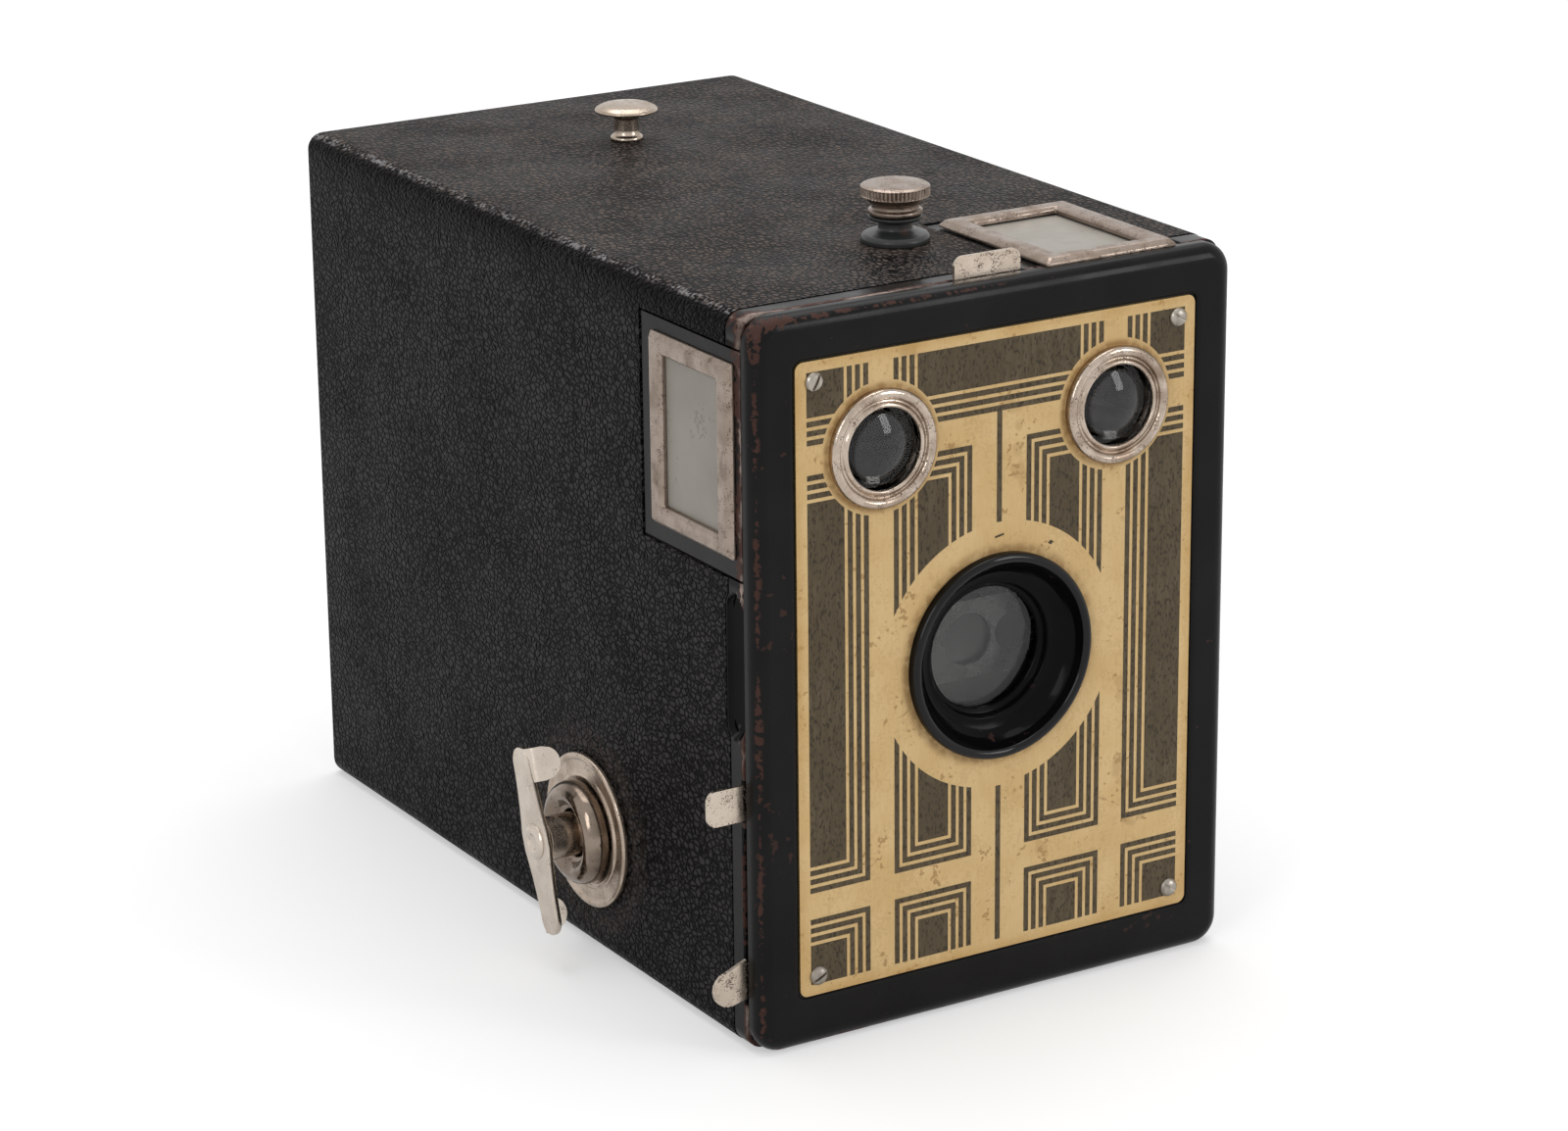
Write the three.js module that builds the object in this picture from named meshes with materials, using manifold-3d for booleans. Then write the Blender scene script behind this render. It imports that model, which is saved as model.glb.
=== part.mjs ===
// Roll-film box camera with two brilliant finders, a rotary shutter and a winding key.
// Millimetres, +Z up. The origin is the centre of the base. The front faces -Y, and the
// finder whose window is in the side wall is at -X. Distances called depth are measured
// from the front face towards the back.
import * as THREE from 'three';
import { mergeVertices } from 'three/addons/utils/BufferGeometryUtils.js';
import Module from 'manifold-3d';

const wasm = await Module();
wasm.setup();

// ---- driving dimensions -------------------------------------------------------------
const WIDTH = 76;
const HEIGHT = 102;
const DEPTH = 130;
const HALF_W = WIDTH / 2;
const EDGE_R = 2.5;
const FRONT = -DEPTH / 2;
const GAP = 0.3;
const ROUND = 28;
const FINE = 36;
const SMALL = 16;
const SCREW_SIDES = 20;
const HOOD_SIDES = 24;

// body shell and its covering
const STEEL = 1.0;
const SKIN = 0.5;
const PAN_REAR = 3.1;
const LIP_FRONT = 3.6;
const LIP_REAR = 7.0;
const INNER_X = HALF_W - SKIN - STEEL;
const INNER_TOP = HEIGHT - SKIN - STEEL;
const SIDE_NOTCH = { rear: 29.2, low: 66.0, high: 97.6 };
const TOP_NOTCH = { rear: 31.2, left: 7.9, right: 31.6 };
const GROOVE = { low: 44, high: 64, radius: 2.0, depth: 5.5 };

// face plate, lens and finders
const PLATE = { width: 63.3, height: 88.2, z: 51.5, thick: 0.35, front: 0.1, corner: 1.2 };
const SCREW = { x: 28.8, dz: 41.3, head: 1.35, shank: 0.8 };
const LENS_Z = 50.2;
const LENS_HOLE = 13.2;
const FINDER = { x: 18.6, z: 82.3, bezel: 8.2, glass: 5.6, hole: 7.0 };
const WINDOW = { wide: 14.2, long: 20.8, frameWide: 21, frameLong: 26.5, start: 2.4, thick: 1.1 };
const TOP_WINDOW_X = 19.6;

// inner section: side plates, film path
const PLATE_X = 33.9;
const PLATE_T = 0.8;
const REAR = 123;
const TAKE_UP = { depth: 46, z: 18 };
const SUPPLY = { depth: 46, z: HEIGHT - 1 - 18 };
const ROLLER = { depth: 117.8, low: 6.8, high: 94.2, r: 2.2 };
const CONE = { front: 13, back: 117, x0: 9, z0: 9, x1: 30, z1: 41.3, wall: 0.8 };
const GATE = { x: 28, z: 40 };

// shutter and its controls
const BOARD = { front: 10.2, rear: 11.0 };
const TAB_PLANE = { front: 3.4, rear: 3.9 };
const SLIDE_PLANE = { front: 8.0, rear: 8.5 };
const DISC = { z: 36.5, r: 19, front: 9.0, rear: 9.4, hole: 4.0 };
const STOP = { large: 3.75, small: 2.6, pitch: 7.0, low: 33.2, high: 38.2 };
const LEVER = { x: 14, z: 20.0, reach: 52.4, tip: 58.1, halfTurn: 10.4 };
const TAB = { out: 43.7, left: -5, right: 5.4, rise: 3.1, corner: 1.4 };

// winding key, top fittings
const KEY = { depth: 46, z: 18, flange: 11.2, dome: 7.5, hub: 3.1, bore: 2.35, shaft: 2.1, tilt: 19 };
const KEY_WING = { inner: 8.0, thick: 0.9, half: 13.4, wide: 3.9, tip: 2.3, flap: 4.4 };
const POST = { depth: 25.5, bore: 1.8 };
const STUD = { depth: 99 };
const RED_WINDOW = { x: 14, z: 35, r: 5.5, ring: 7.6 };

// ---- finishes -----------------------------------------------------------------------
const finish = (color, roughness, metalness) =>
  new THREE.MeshStandardMaterial({ color, roughness, metalness });
const ENAMEL = () => finish(0x0d0d0e, 0.25, 0.0);
const LEATHER = () => finish(0x17181a, 0.6, 0.0);
const NICKEL = () => finish(0xb9aea0, 0.35, 1.0);
const STEEL_GREY = () => finish(0x7d7c78, 0.4, 1.0);
const BLACK_STEEL = () => finish(0x1b1b1c, 0.6, 0.4);
const CREAM = () => finish(0xd2b575, 0.45, 0.1);
const GLASS = () => finish(0xcfd6d8, 0.05, 0.0);
const GROUND_GLASS = () => finish(0xb9bbb4, 0.5, 0.0);
const MIRROR = () => finish(0xd8dadb, 0.03, 1.0);
const RED = () => finish(0x7a0f0c, 0.2, 0.0);

// ---- solids -------------------------------------------------------------------------
const at = (depth) => FRONT + depth;

/** A three.js geometry as a closed solid, turned right side out. */
function solid(geometry) {
  const bare = geometry.clone();
  bare.deleteAttribute('normal');
  bare.deleteAttribute('uv');
  const welded = mergeVertices(bare, 1e-4);
  const points = welded.attributes.position.array;
  const index = [];
  let volume = 0;
  const corner = (i) => new THREE.Vector3().fromArray(points, 3 * i);
  for (let i = 0; i < welded.index.count; i += 3) {
    const [a, b, c] = [0, 1, 2].map((k) => welded.index.getX(i + k));
    if (a !== b && b !== c && c !== a) {
      index.push(a, b, c);
      volume += corner(a).dot(corner(b).cross(corner(c)));
    }
  }
  if (volume < 0) {
    index.reverse();
  }
  const vertProperties = new Float32Array(points);
  const mesh = { numProp: 3, vertProperties, triVerts: new Uint32Array(index) };
  return new wasm.Manifold(new wasm.Mesh(mesh));
}

/** A solid back as a three.js geometry. */
function geometryOf(body) {
  const mesh = body.getMesh();
  const points = new THREE.BufferAttribute(new Float32Array(mesh.vertProperties), 3);
  const geometry = new THREE.BufferGeometry();
  geometry.setAttribute('position', points);
  geometry.setIndex(new THREE.BufferAttribute(new Uint32Array(mesh.triVerts), 1));
  geometry.computeVertexNormals();
  return geometry;
}

const join = (...bodies) => bodies.reduce((sum, next) => sum.add(next));
const cut = (body, ...tools) => tools.reduce((rest, tool) => rest.subtract(tool), body);

/** A box between two corners, with depths along Y. */
function block(x0, x1, d0, d1, z0, z1) {
  const geometry = new THREE.BoxGeometry(x1 - x0, d1 - d0, z1 - z0);
  geometry.translate((x0 + x1) / 2, at((d0 + d1) / 2), (z0 + z1) / 2);
  return solid(geometry);
}

/** An outline in X and Y, thick along Z, as a geometry. */
const extruded = (shape, depth, curveSegments = 5) =>
  new THREE.ExtrudeGeometry(shape, { depth, bevelEnabled: false, curveSegments });

/** An outline in X and Z, thick from depth d0 to depth d1. */
function sheetY(shape, d0, d1) {
  const geometry = extruded(shape, d1 - d0);
  geometry.rotateX(Math.PI / 2);
  geometry.translate(0, at(d1), 0);
  return solid(geometry);
}

/** An outline in depth and Z, thick from x0 to x1. */
function sheetX(shape, x0, x1) {
  const geometry = extruded(shape, x1 - x0);
  const yzx = new THREE.Matrix4().makeBasis(
    new THREE.Vector3(0, 1, 0), new THREE.Vector3(0, 0, 1), new THREE.Vector3(1, 0, 0));
  geometry.applyMatrix4(yzx);
  geometry.translate(x0, FRONT, 0);
  return solid(geometry);
}

/** An outline in X and depth, thick from z0 to z1. */
function sheetZ(shape, z0, z1) {
  const geometry = extruded(shape, z1 - z0);
  geometry.translate(0, FRONT, z0);
  return solid(geometry);
}

const lathe = (profile, segments) =>
  new THREE.LatheGeometry(profile.map(([r, h]) => new THREE.Vector2(r, h)), segments);

/** A turned piece on a front-to-back axis: [radius, depth] pairs. */
function turnedY(profile, x, z, segments = ROUND) {
  const geometry = lathe(profile, segments);
  geometry.translate(x, FRONT, z);
  return solid(geometry);
}

/** A turned piece on a left-to-right axis: [radius, x] pairs. */
function turnedX(profile, depth, z, segments = ROUND) {
  const geometry = lathe(profile, segments);
  geometry.rotateZ(-Math.PI / 2);
  geometry.translate(0, at(depth), z);
  return solid(geometry);
}

/** A turned piece on an upright axis: [radius, z] pairs. */
function turnedZ(profile, x, depth, segments = ROUND) {
  const geometry = lathe(profile, segments);
  geometry.rotateX(Math.PI / 2);
  geometry.translate(x, at(depth), 0);
  return solid(geometry);
}

/** The profile of a plain rod or, with an inner radius, a tube. */
const rod = (r, a, b, inner = 0) =>
  (inner > 0 ? [[inner, a], [r, a], [r, b], [inner, b], [inner, a]] : [[0, a], [r, a], [r, b], [0, b]]);

/** The outer curve of a rounded rim: a quarter turn from (r, a) to (r - size, a - size * way). */
function quarter(r, a, size, way = 1, steps = 3) {
  const points = [];
  for (let i = 0; i <= steps; i += 1) {
    const turn = (i / steps) * (Math.PI / 2);
    points.push([r - size + size * Math.cos(turn), a - way * size * Math.sin(turn)]);
  }
  return points;
}

function polygon(points) {
  const shape = new THREE.Shape();
  shape.moveTo(...points[0]);
  points.slice(1).forEach((point) => shape.lineTo(...point));
  shape.closePath();
  return shape;
}

function roundedRect(x0, x1, y0, y1, r) {
  const shape = new THREE.Shape();
  shape.absarc(x1 - r, y0 + r, r, -Math.PI / 2, 0);
  shape.absarc(x1 - r, y1 - r, r, 0, Math.PI / 2);
  shape.absarc(x0 + r, y1 - r, r, Math.PI / 2, Math.PI);
  shape.absarc(x0 + r, y0 + r, r, Math.PI, 1.5 * Math.PI);
  shape.closePath();
  return shape;
}

/** The outline of a bent strip: a line of points with a thickness, mitred at the bends. */
function strip(points, thick) {
  const line = points.map(([x, y]) => new THREE.Vector2(x, y));
  const normals = line.slice(1).map((p, i) => {
    const along = p.clone().sub(line[i]).normalize();
    return new THREE.Vector2(-along.y, along.x);
  });
  const offset = (i, side) => {
    const before = normals[Math.max(i - 1, 0)];
    const after = normals[Math.min(i, normals.length - 1)];
    const mitre = before.clone().add(after).divideScalar(1 + before.dot(after));
    return line[i].clone().addScaledVector(mitre, (side * thick) / 2).toArray();
  };
  const there = line.map((_, i) => offset(i, 1));
  const back = line.map((_, i) => offset(i, -1)).reverse();
  return polygon([...there, ...back]);
}

// ---- the assembly -------------------------------------------------------------------
const camera = new THREE.Group();
camera.name = 'box_camera';
const section = new THREE.Group();
section.name = 'front_section_group';
camera.add(section);

function piece(name, body, material, parent = section) {
  const mesh = new THREE.Mesh(geometryOf(body), material);
  mesh.name = name;
  parent.add(mesh);
}

// ---- body ---------------------------------------------------------------------------
const outlineAt = (inset, r) => roundedRect(inset - HALF_W, HALF_W - inset, inset, HEIGHT - inset, r);

function finderNotches() {
  const side = block(-HALF_W - 1, -INNER_X + 1, -1, SIDE_NOTCH.rear, SIDE_NOTCH.low, SIDE_NOTCH.high);
  const top = block(TOP_NOTCH.left, TOP_NOTCH.right, -1, TOP_NOTCH.rear, INNER_TOP - 1, HEIGHT + 1);
  return join(side, top);
}

/** The scooped finger grip behind the front rim, as a cutting tool for one side. */
function gripScoop(side, grow) {
  const r = GROOVE.radius + grow;
  const profile = [
    ...quarter(r, GROOVE.low + r - grow, r, 1, 4).reverse(),
    ...quarter(r, GROOVE.high - r + grow, r, -1, 4),
  ];
  return turnedZ(profile, side * HALF_W, GROOVE.depth, SMALL);
}

function bodyShell() {
  const band = sheetY(outlineAt(0, EDGE_R), LIP_FRONT, LIP_REAR);
  const tube = sheetY(outlineAt(SKIN, EDGE_R - SKIN), LIP_REAR, DEPTH - SKIN);
  const inside = sheetY(outlineAt(SKIN + STEEL, STEEL), 0, DEPTH - SKIN - STEEL);
  const reach = INNER_X - 2;
  const scoopBacks = [-1, 1].map((side) => gripScoop(side, STEEL)
    .intersect(block(SKIN - HALF_W, HALF_W - SKIN, LIP_FRONT, LIP_REAR + 2, 0, HEIGHT))
    .subtract(block(-reach, reach, 0, DEPTH, 0, HEIGHT)));
  const stopSlot = block(-HALF_W - 1, -INNER_X + 2, 0, 4.3, STOP.low - 0.5, STOP.high + 0.5);
  const leverSlot = block(-HALF_W - 1, -INNER_X + 2, 0, 4.3, 6.4, 32.0);
  const timeSlot = block(-5.8, 6.2, 0, 4.3, INNER_TOP - 1, HEIGHT + 1);
  const keyHole = turnedX(rod(4.6, -HALF_W - 1, -INNER_X + 1), KEY.depth, KEY.z);
  const screwHole = turnedZ(rod(POST.bore, INNER_TOP - 1, HEIGHT + 1), 0, POST.depth, SMALL);
  const studHole = turnedZ(rod(1.5, INNER_TOP - 1, HEIGHT + 1), 0, STUD.depth, SMALL);
  const windowHole = turnedY(rod(RED_WINDOW.r, DEPTH - 3, DEPTH + 1), RED_WINDOW.x, RED_WINDOW.z);
  const walls = join(band, tube).subtract(inside).add(join(...scoopBacks));
  const slots = [stopSlot, leverSlot, timeSlot];
  const holes = [keyHole, screwHole, studHole, windowHole];
  return cut(walls, gripScoop(-1, 0), gripScoop(1, 0), finderNotches(), ...slots, ...holes);
}

function coveringWrap() {
  const outer = sheetY(outlineAt(0, EDGE_R), LIP_REAR, DEPTH - SKIN);
  const inner = sheetY(outlineAt(SKIN, EDGE_R - SKIN), 0, DEPTH);
  const scoops = [-1, 1].map((side) => gripScoop(side, 0.3));
  const keyHole = turnedX(rod(4.9, -HALF_W - 1, -INNER_X), KEY.depth, KEY.z);
  const postHole = turnedZ(rod(POST.bore, INNER_TOP, HEIGHT + 1), 0, POST.depth, SMALL);
  const studHole = turnedZ(rod(1.5, INNER_TOP, HEIGHT + 1), 0, STUD.depth, SMALL);
  return cut(outer, inner, ...scoops, finderNotches(), keyHole, postHole, studHole);
}

function coveringBack() {
  const hole = turnedY(rod(RED_WINDOW.ring + GAP, DEPTH - 2, DEPTH + 1), RED_WINDOW.x, RED_WINDOW.z);
  return sheetY(outlineAt(0, EDGE_R), DEPTH - SKIN, DEPTH).subtract(hole);
}

function redWindowRing() {
  const { r, ring, x, z } = RED_WINDOW;
  const [rear, front, soft] = [DEPTH - SKIN, DEPTH - 0.05, 0.2];
  const outer = [[ring, rear], [ring, front - soft], [ring - soft, front]];
  return turnedY([[r, rear], ...outer, [r, front], [r, rear]], x, z);
}

function body() {
  piece('body_shell', bodyShell(), ENAMEL(), camera);
  piece('covering_wrap', coveringWrap(), LEATHER(), camera);
  piece('covering_back', coveringBack(), LEATHER(), camera);
  piece('red_window_ring', redWindowRing(), NICKEL(), camera);
  const inside = DEPTH - SKIN - STEEL;
  piece('red_window', turnedY(rod(RED_WINDOW.r + 1, inside - 0.4, inside), RED_WINDOW.x, RED_WINDOW.z),
    RED(), camera);
}

// ---- strap fittings on the top --------------------------------------------------------
function topFittings() {
  const foot = [[POST.bore, HEIGHT], [4.75, HEIGHT], ...quarter(4.75, HEIGHT + 0.9, 0.5, -1),
    [2.7, HEIGHT + 1.5], [2.25, HEIGHT + 2.1], [2.25, HEIGHT + 2.9], [3.7, HEIGHT + 3.3],
    [3.7, HEIGHT + 3.7], [POST.bore, HEIGHT + 3.7], [POST.bore, HEIGHT]];
  piece('strap_post', turnedZ(foot, 0, POST.depth), ENAMEL(), camera);
  const stud = [[0, INNER_TOP - 0.8], [2.2, INNER_TOP - 0.8], [2.2, INNER_TOP - 0.1],
    [1.3, INNER_TOP - 0.1], [1.3, HEIGHT + 0.05], [2.3, HEIGHT + 0.05], [2.3, HEIGHT + 0.7],
    [1.9, HEIGHT + 0.9], [1.9, HEIGHT + 3.4], [4.5, HEIGHT + 4.2], [4.7, HEIGHT + 4.6],
    [4.0, HEIGHT + 5.2], [2.2, HEIGHT + 5.6], [0, HEIGHT + 5.7]];
  piece('strap_stud', turnedZ(stud, 0, STUD.depth), NICKEL(), camera);
  const knob = [[0, 96.8], [1.5, 96.8], [1.5, HEIGHT + 3.8], [3.7, HEIGHT + 3.8],
    [3.7, HEIGHT + 6.1], [4.75, HEIGHT + 6.3], [4.75, HEIGHT + 7.6], [4.3, HEIGHT + 8.0],
    [2.5, HEIGHT + 8.1], [0, HEIGHT + 8.1]];
  piece('clamp_knob', turnedZ(knob, 0, POST.depth), NICKEL(), camera);
  const nut = join(block(-3.5, 3.5, POST.depth - 3.5, POST.depth + 3.5, 97.2, 98.8),
    block(-1.6, 1.6, POST.depth - 3.2, POST.depth + 3.2, 98.8, 99.5));
  const bore = turnedZ(rod(POST.bore, 96, 100), 0, POST.depth, SMALL);
  piece('clamp_nut', nut.subtract(bore), STEEL_GREY(), camera);
}

// ---- winding key --------------------------------------------------------------------
const OUT = -HALF_W;

function keyFlange() {
  const profile = [[4.9, OUT], [KEY.flange, OUT], [KEY.flange, OUT - 0.7], [KEY.flange - 0.5, OUT - 1.0],
    [KEY.flange - 1.0, OUT - 0.8], [KEY.dome + 0.9, OUT - 0.8], [KEY.dome + 0.4, OUT - 0.95],
    [KEY.dome, OUT - 0.8], [4.9, OUT - 0.8], [4.9, OUT]];
  return turnedX(profile, KEY.depth, KEY.z, FINE);
}

function keyBush() {
  const neck = [[3.4, OUT + 2.0], [4.3, OUT + 2.0], [4.3, OUT - 1.0], [KEY.dome, OUT - 1.0]];
  const dome = [[KEY.dome, OUT - 2.2], [KEY.dome - 0.3, OUT - 3.2], [KEY.dome - 1.0, OUT - 4.0],
    [KEY.dome - 1.9, OUT - 4.3], [KEY.dome - 2.7, OUT - 4.0], [4.2, OUT - 3.1], [3.4, OUT - 3.0],
    [3.4, OUT + 2.0]];
  return turnedX([...neck, ...dome], KEY.depth, KEY.z, FINE);
}

function keyHub() {
  const [start, end] = [OUT - KEY_WING.inner + GAP, OUT + 2.8];
  const profile = [[KEY.bore, start], [KEY.hub, start], [KEY.hub, OUT + 2.3], [4.0, OUT + 2.3], [4.0, end],
    [KEY.bore, end], [KEY.bore, start]];
  return turnedX(profile, KEY.depth, KEY.z, ROUND);
}

/** Wing outline round its centre: x across, y along. */
function wingOutline() {
  const { half, wide, tip } = KEY_WING;
  const shape = new THREE.Shape();
  shape.moveTo(tip, half - tip);
  shape.absarc(0, half - tip, tip, 0, Math.PI);
  shape.quadraticCurveTo(-tip, half * 0.45, -wide, 0);
  shape.quadraticCurveTo(-tip, -half * 0.45, -tip, tip - half);
  shape.absarc(0, tip - half, tip, Math.PI, 2 * Math.PI);
  shape.quadraticCurveTo(tip, -half * 0.45, wide, 0);
  shape.quadraticCurveTo(tip, half * 0.45, tip, half - tip);
  return shape;
}

function keyWing() {
  const { inner, thick, half, tip, flap } = KEY_WING;
  const { depth: wingDepth, z } = KEY;
  const bladeGeometry = extruded(wingOutline(), thick, 6);
  const flapGeometry = (way) => {
    const shape = roundedRect(0, flap, -tip + 0.1, tip - 0.1, 1.5);
    const geometry = extruded(shape, thick);
    // stand the flap on edge at the wing's side, reaching towards the body
    geometry.rotateY(-Math.PI / 2);
    geometry.translate(way < 0 ? thick - tip - 0.15 : tip + 0.15, -way * (half - tip - 0.9), 0.25);
    return geometry;
  };
  const toWorld = (geometry) => {
    geometry.rotateZ(-THREE.MathUtils.degToRad(KEY.tilt));
    geometry.applyMatrix4(new THREE.Matrix4().makeBasis(
      new THREE.Vector3(0, 1, 0), new THREE.Vector3(0, 0, 1), new THREE.Vector3(1, 0, 0)));
    geometry.translate(OUT - inner - thick, at(wingDepth), z);
    return solid(geometry);
  };
  const bore = turnedX(rod(KEY.shaft + 0.05, OUT - 12, OUT - 4), wingDepth, z, ROUND);
  return join(toWorld(bladeGeometry), toWorld(flapGeometry(-1)), toWorld(flapGeometry(1))).subtract(bore);
}

function keyShaft() {
  const outer = OUT - KEY_WING.inner - KEY_WING.thick;
  const { depth, z, shaft } = KEY;
  const rivet = [[0, outer - 0.1], [1.0, outer - 0.1], [1.3, outer - 0.6], [2.3, outer - 0.5],
    [2.6, outer - GAP], [2.6, outer - 0.02], [shaft, outer - 0.02], [shaft, -34.9], [0, -34.9]];
  const tongue = block(-35.2, -31.9, depth - shaft, depth + shaft, z - 0.5, z + 0.5);
  return turnedX(rivet, depth, z).add(tongue);
}

function windingKey() {
  piece('key_flange', keyFlange(), NICKEL(), camera);
  piece('key_bush', keyBush(), NICKEL(), camera);
  piece('key_hub', keyHub(), NICKEL(), camera);
  piece('key_wing', keyWing(), NICKEL(), camera);
  piece('key_shaft', keyShaft(), STEEL_GREY(), camera);
}

// ---- front pan, face plate and lens ---------------------------------------------------
function frontPan() {
  const r = 2.2;
  const thick = 8;
  const geometry = new THREE.ExtrudeGeometry(outlineAt(0, 4), {
    depth: thick,
    bevelThickness: r,
    bevelSize: r,
    bevelOffset: -r,
    bevelSegments: 3,
    curveSegments: 5,
  });
  geometry.rotateX(Math.PI / 2);
  geometry.translate(0, at(thick + r), 0);
  const outer = solid(geometry).intersect(block(-50, 50, 0, PAN_REAR, -5, HEIGHT + 5));
  const inner = sheetY(outlineAt(0.9, 3.2), 1.0, PAN_REAR + 1);
  const { width, height, z, corner } = PLATE;
  const recess = sheetY(roundedRect(-width / 2 - GAP, width / 2 + GAP, z - height / 2 - GAP,
    z + height / 2 + GAP, corner), -1, PLATE.front + PLATE.thick);
  return cut(outer, inner, recess, ...faceHoles());
}

function screwPlaces() {
  return [-1, 1].flatMap((side) => [-1, 1].map((up) => [side * SCREW.x, PLATE.z + up * SCREW.dz]));
}

/** The holes through the pan and the plate: lens, finders and screws. */
function faceHoles() {
  const hole = (r, x, z, segments) => turnedY(rod(r, -1, 2), x, z, segments);
  const finders = [-1, 1].map((side) => hole(FINDER.hole, side * FINDER.x, FINDER.z));
  const screws = screwPlaces().map(([x, z]) => hole(SCREW.shank + 0.1, x, z, SMALL));
  return [hole(LENS_HOLE, 0, LENS_Z), ...finders, ...screws];
}

function facePlate() {
  const { width, height, z, corner, front, thick } = PLATE;
  const sheet = sheetY(roundedRect(-width / 2, width / 2, z - height / 2, z + height / 2, corner),
    front, front + thick);
  return cut(sheet, ...faceHoles());
}

function faceScrew(x, z) {
  const { head, shank } = SCREW;
  const profile = [[0, -0.75], [head * 0.6, -0.65], [head, -0.2], [head, PLATE.front], [shank, PLATE.front],
    [shank, 1.1], [0, 1.1]];
  const slot = block(x - 0.2, x + 0.2, -1, -0.35, z - 2, z + 2);
  return turnedY(profile, x, z, SCREW_SIDES).subtract(slot);
}

function lensHood() {
  const neck = LENS_HOLE - 0.2;
  const outer = [[10.2, 6.0], [10.8, 6.0], [10.8, 3.1], [neck, 3.1], [neck, PLATE.front]];
  const rim = [[14.6, PLATE.front], [14.6, -1.1], [14.1, -1.5], [13.4, -1.5]];
  const dish = [[12.4, 0.3], [9.7, 2.0], [9.4, 3.9], [10.2, 3.9], [10.2, 6.0]];
  return turnedY([...outer, ...rim, ...dish], 0, LENS_Z, HOOD_SIDES);
}

function takingLens() {
  const profile = [[0, 3.7], [4, 3.8], [8.3, 4.2], [9.8, 4.3], [9.8, 5.6], [8.3, 5.6], [4, 5.2], [0, 5.1]];
  return turnedY(profile, 0, LENS_Z);
}

function finderBezel(x) {
  const { bezel, glass } = FINDER;
  const back = [[6.5, 1.05], [6.85, 1.05], [6.85, PLATE.front], [bezel, PLATE.front], [bezel, -0.8]];
  const front = [[bezel - 0.3, -1.2], [bezel - 0.8, -1.3], [glass + 1.0, -0.9], [glass + 0.3, -1.1],
    [glass, -0.8], [glass, -0.3], [6.5, -0.3], [6.5, 1.05]];
  return turnedY([...back, ...front], x, FINDER.z);
}

function finderLens(x) {
  const profile = [[0, -1.15], [2.2, -1.0], [4.0, -0.6], [5.3, 0.0], [6.3, 0.0], [6.3, 1.0], [0, 1.0]];
  return turnedY(profile, x, FINDER.z);
}

function frontFace() {
  piece('front_pan', frontPan(), ENAMEL());
  piece('face_plate', facePlate(), CREAM());
  screwPlaces().forEach(([x, z], i) => piece(`face_screw_${i + 1}`, faceScrew(x, z), STEEL_GREY()));
  piece('lens_hood', lensHood(), ENAMEL());
  piece('taking_lens', takingLens(), GLASS());
  ['side', 'top'].forEach((name, i) => {
    const x = (2 * i - 1) * FINDER.x;
    piece(`finder_bezel_${name}`, finderBezel(x), NICKEL());
    piece(`finder_lens_${name}`, finderLens(x), GLASS());
  });
}

// ---- brilliant finders ------------------------------------------------------------------
const FINDER_BOX = { wall: 0.8, front: 1.2, rear: 28.7, low: 68.6, high: 95.8 };
const WINDOW_MID = WINDOW.start + WINDOW.frameLong / 2;
const SIDE_Z = 82.1;
const SIDE_MID = 15.5;

/** A bevelled window frame lying in X and Y round the origin, its back on z = 0. */
function windowFrame(wide, long, glassWide, glassLong) {
  const bevel = 0.7;
  const shape = roundedRect(-wide / 2, wide / 2, -long / 2, long / 2, 0.9);
  shape.holes.push(roundedRect(-glassWide / 2, glassWide / 2, -glassLong / 2, glassLong / 2, 0.3));
  const geometry = new THREE.ExtrudeGeometry(shape, {
    depth: 2,
    bevelThickness: 0.5,
    bevelSize: bevel,
    bevelOffset: -bevel,
    bevelSegments: 1,
    curveSegments: 4,
  });
  geometry.translate(0, 0, WINDOW.thick - 2.5);
  const below = new THREE.BoxGeometry(60, 60, 10);
  below.translate(0, 0, -5);
  return solid(geometry).subtract(solid(below));
}

function place(body, matrix) {
  return solid(geometryOf(body).applyMatrix4(matrix));
}

/** Turns a piece lying in X and Y so that it faces left, on the wall at x. */
function facingLeft(body, x, depth, z) {
  const turn = new THREE.Matrix4().makeBasis(
    new THREE.Vector3(0, 0, 1), new THREE.Vector3(0, 1, 0), new THREE.Vector3(-1, 0, 0));
  return place(body, turn.setPosition(x, at(depth), z));
}

function sideFinder() {
  const { wall, front, rear, low, high } = FINDER_BOX;
  const [left, right] = [-36.9, -8.8];
  const shell = block(left, right, front, rear, low, high);
  const inside = block(left - 1, right - wall, front + wall, rear - wall, low + wall, high - wall);
  const eye = turnedY(rod(6.2, 0, 4), -FINDER.x, FINDER.z);
  const flange = block(-37.8, left, LIP_FRONT - 0.1, 28.8, SIDE_NOTCH.low + 0.4, SIDE_NOTCH.high - 0.4);
  const { wide, long } = WINDOW;
  const seat = block(-39, left + 1, SIDE_MID - wide / 2 - 0.8, SIDE_MID + wide / 2 + 0.8,
    SIDE_Z - long / 2 - 0.8, SIDE_Z + long / 2 + 0.8);
  piece('finder_box_side', cut(join(shell.subtract(inside), flange), eye, seat), ENAMEL());
  const glass = block(-37.75, -36.95, SIDE_MID - wide / 2 - 0.6, SIDE_MID + wide / 2 + 0.6,
    SIDE_Z - long / 2 - 0.6, SIDE_Z + long / 2 + 0.6);
  piece('finder_glass_side', glass, GROUND_GLASS());
  const frame = windowFrame(WINDOW.frameLong, WINDOW.frameWide, long, wide);
  piece('finder_frame_side', facingLeft(frame, -37.85, SIDE_MID, SIDE_Z), NICKEL());
  const mirror = strip([[-10.2, 6.2], [-29.4, 25.4]], 0.8);
  piece('finder_mirror_side', sheetZ(mirror, low + wall + GAP, high - wall - GAP), MIRROR());
}

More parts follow.
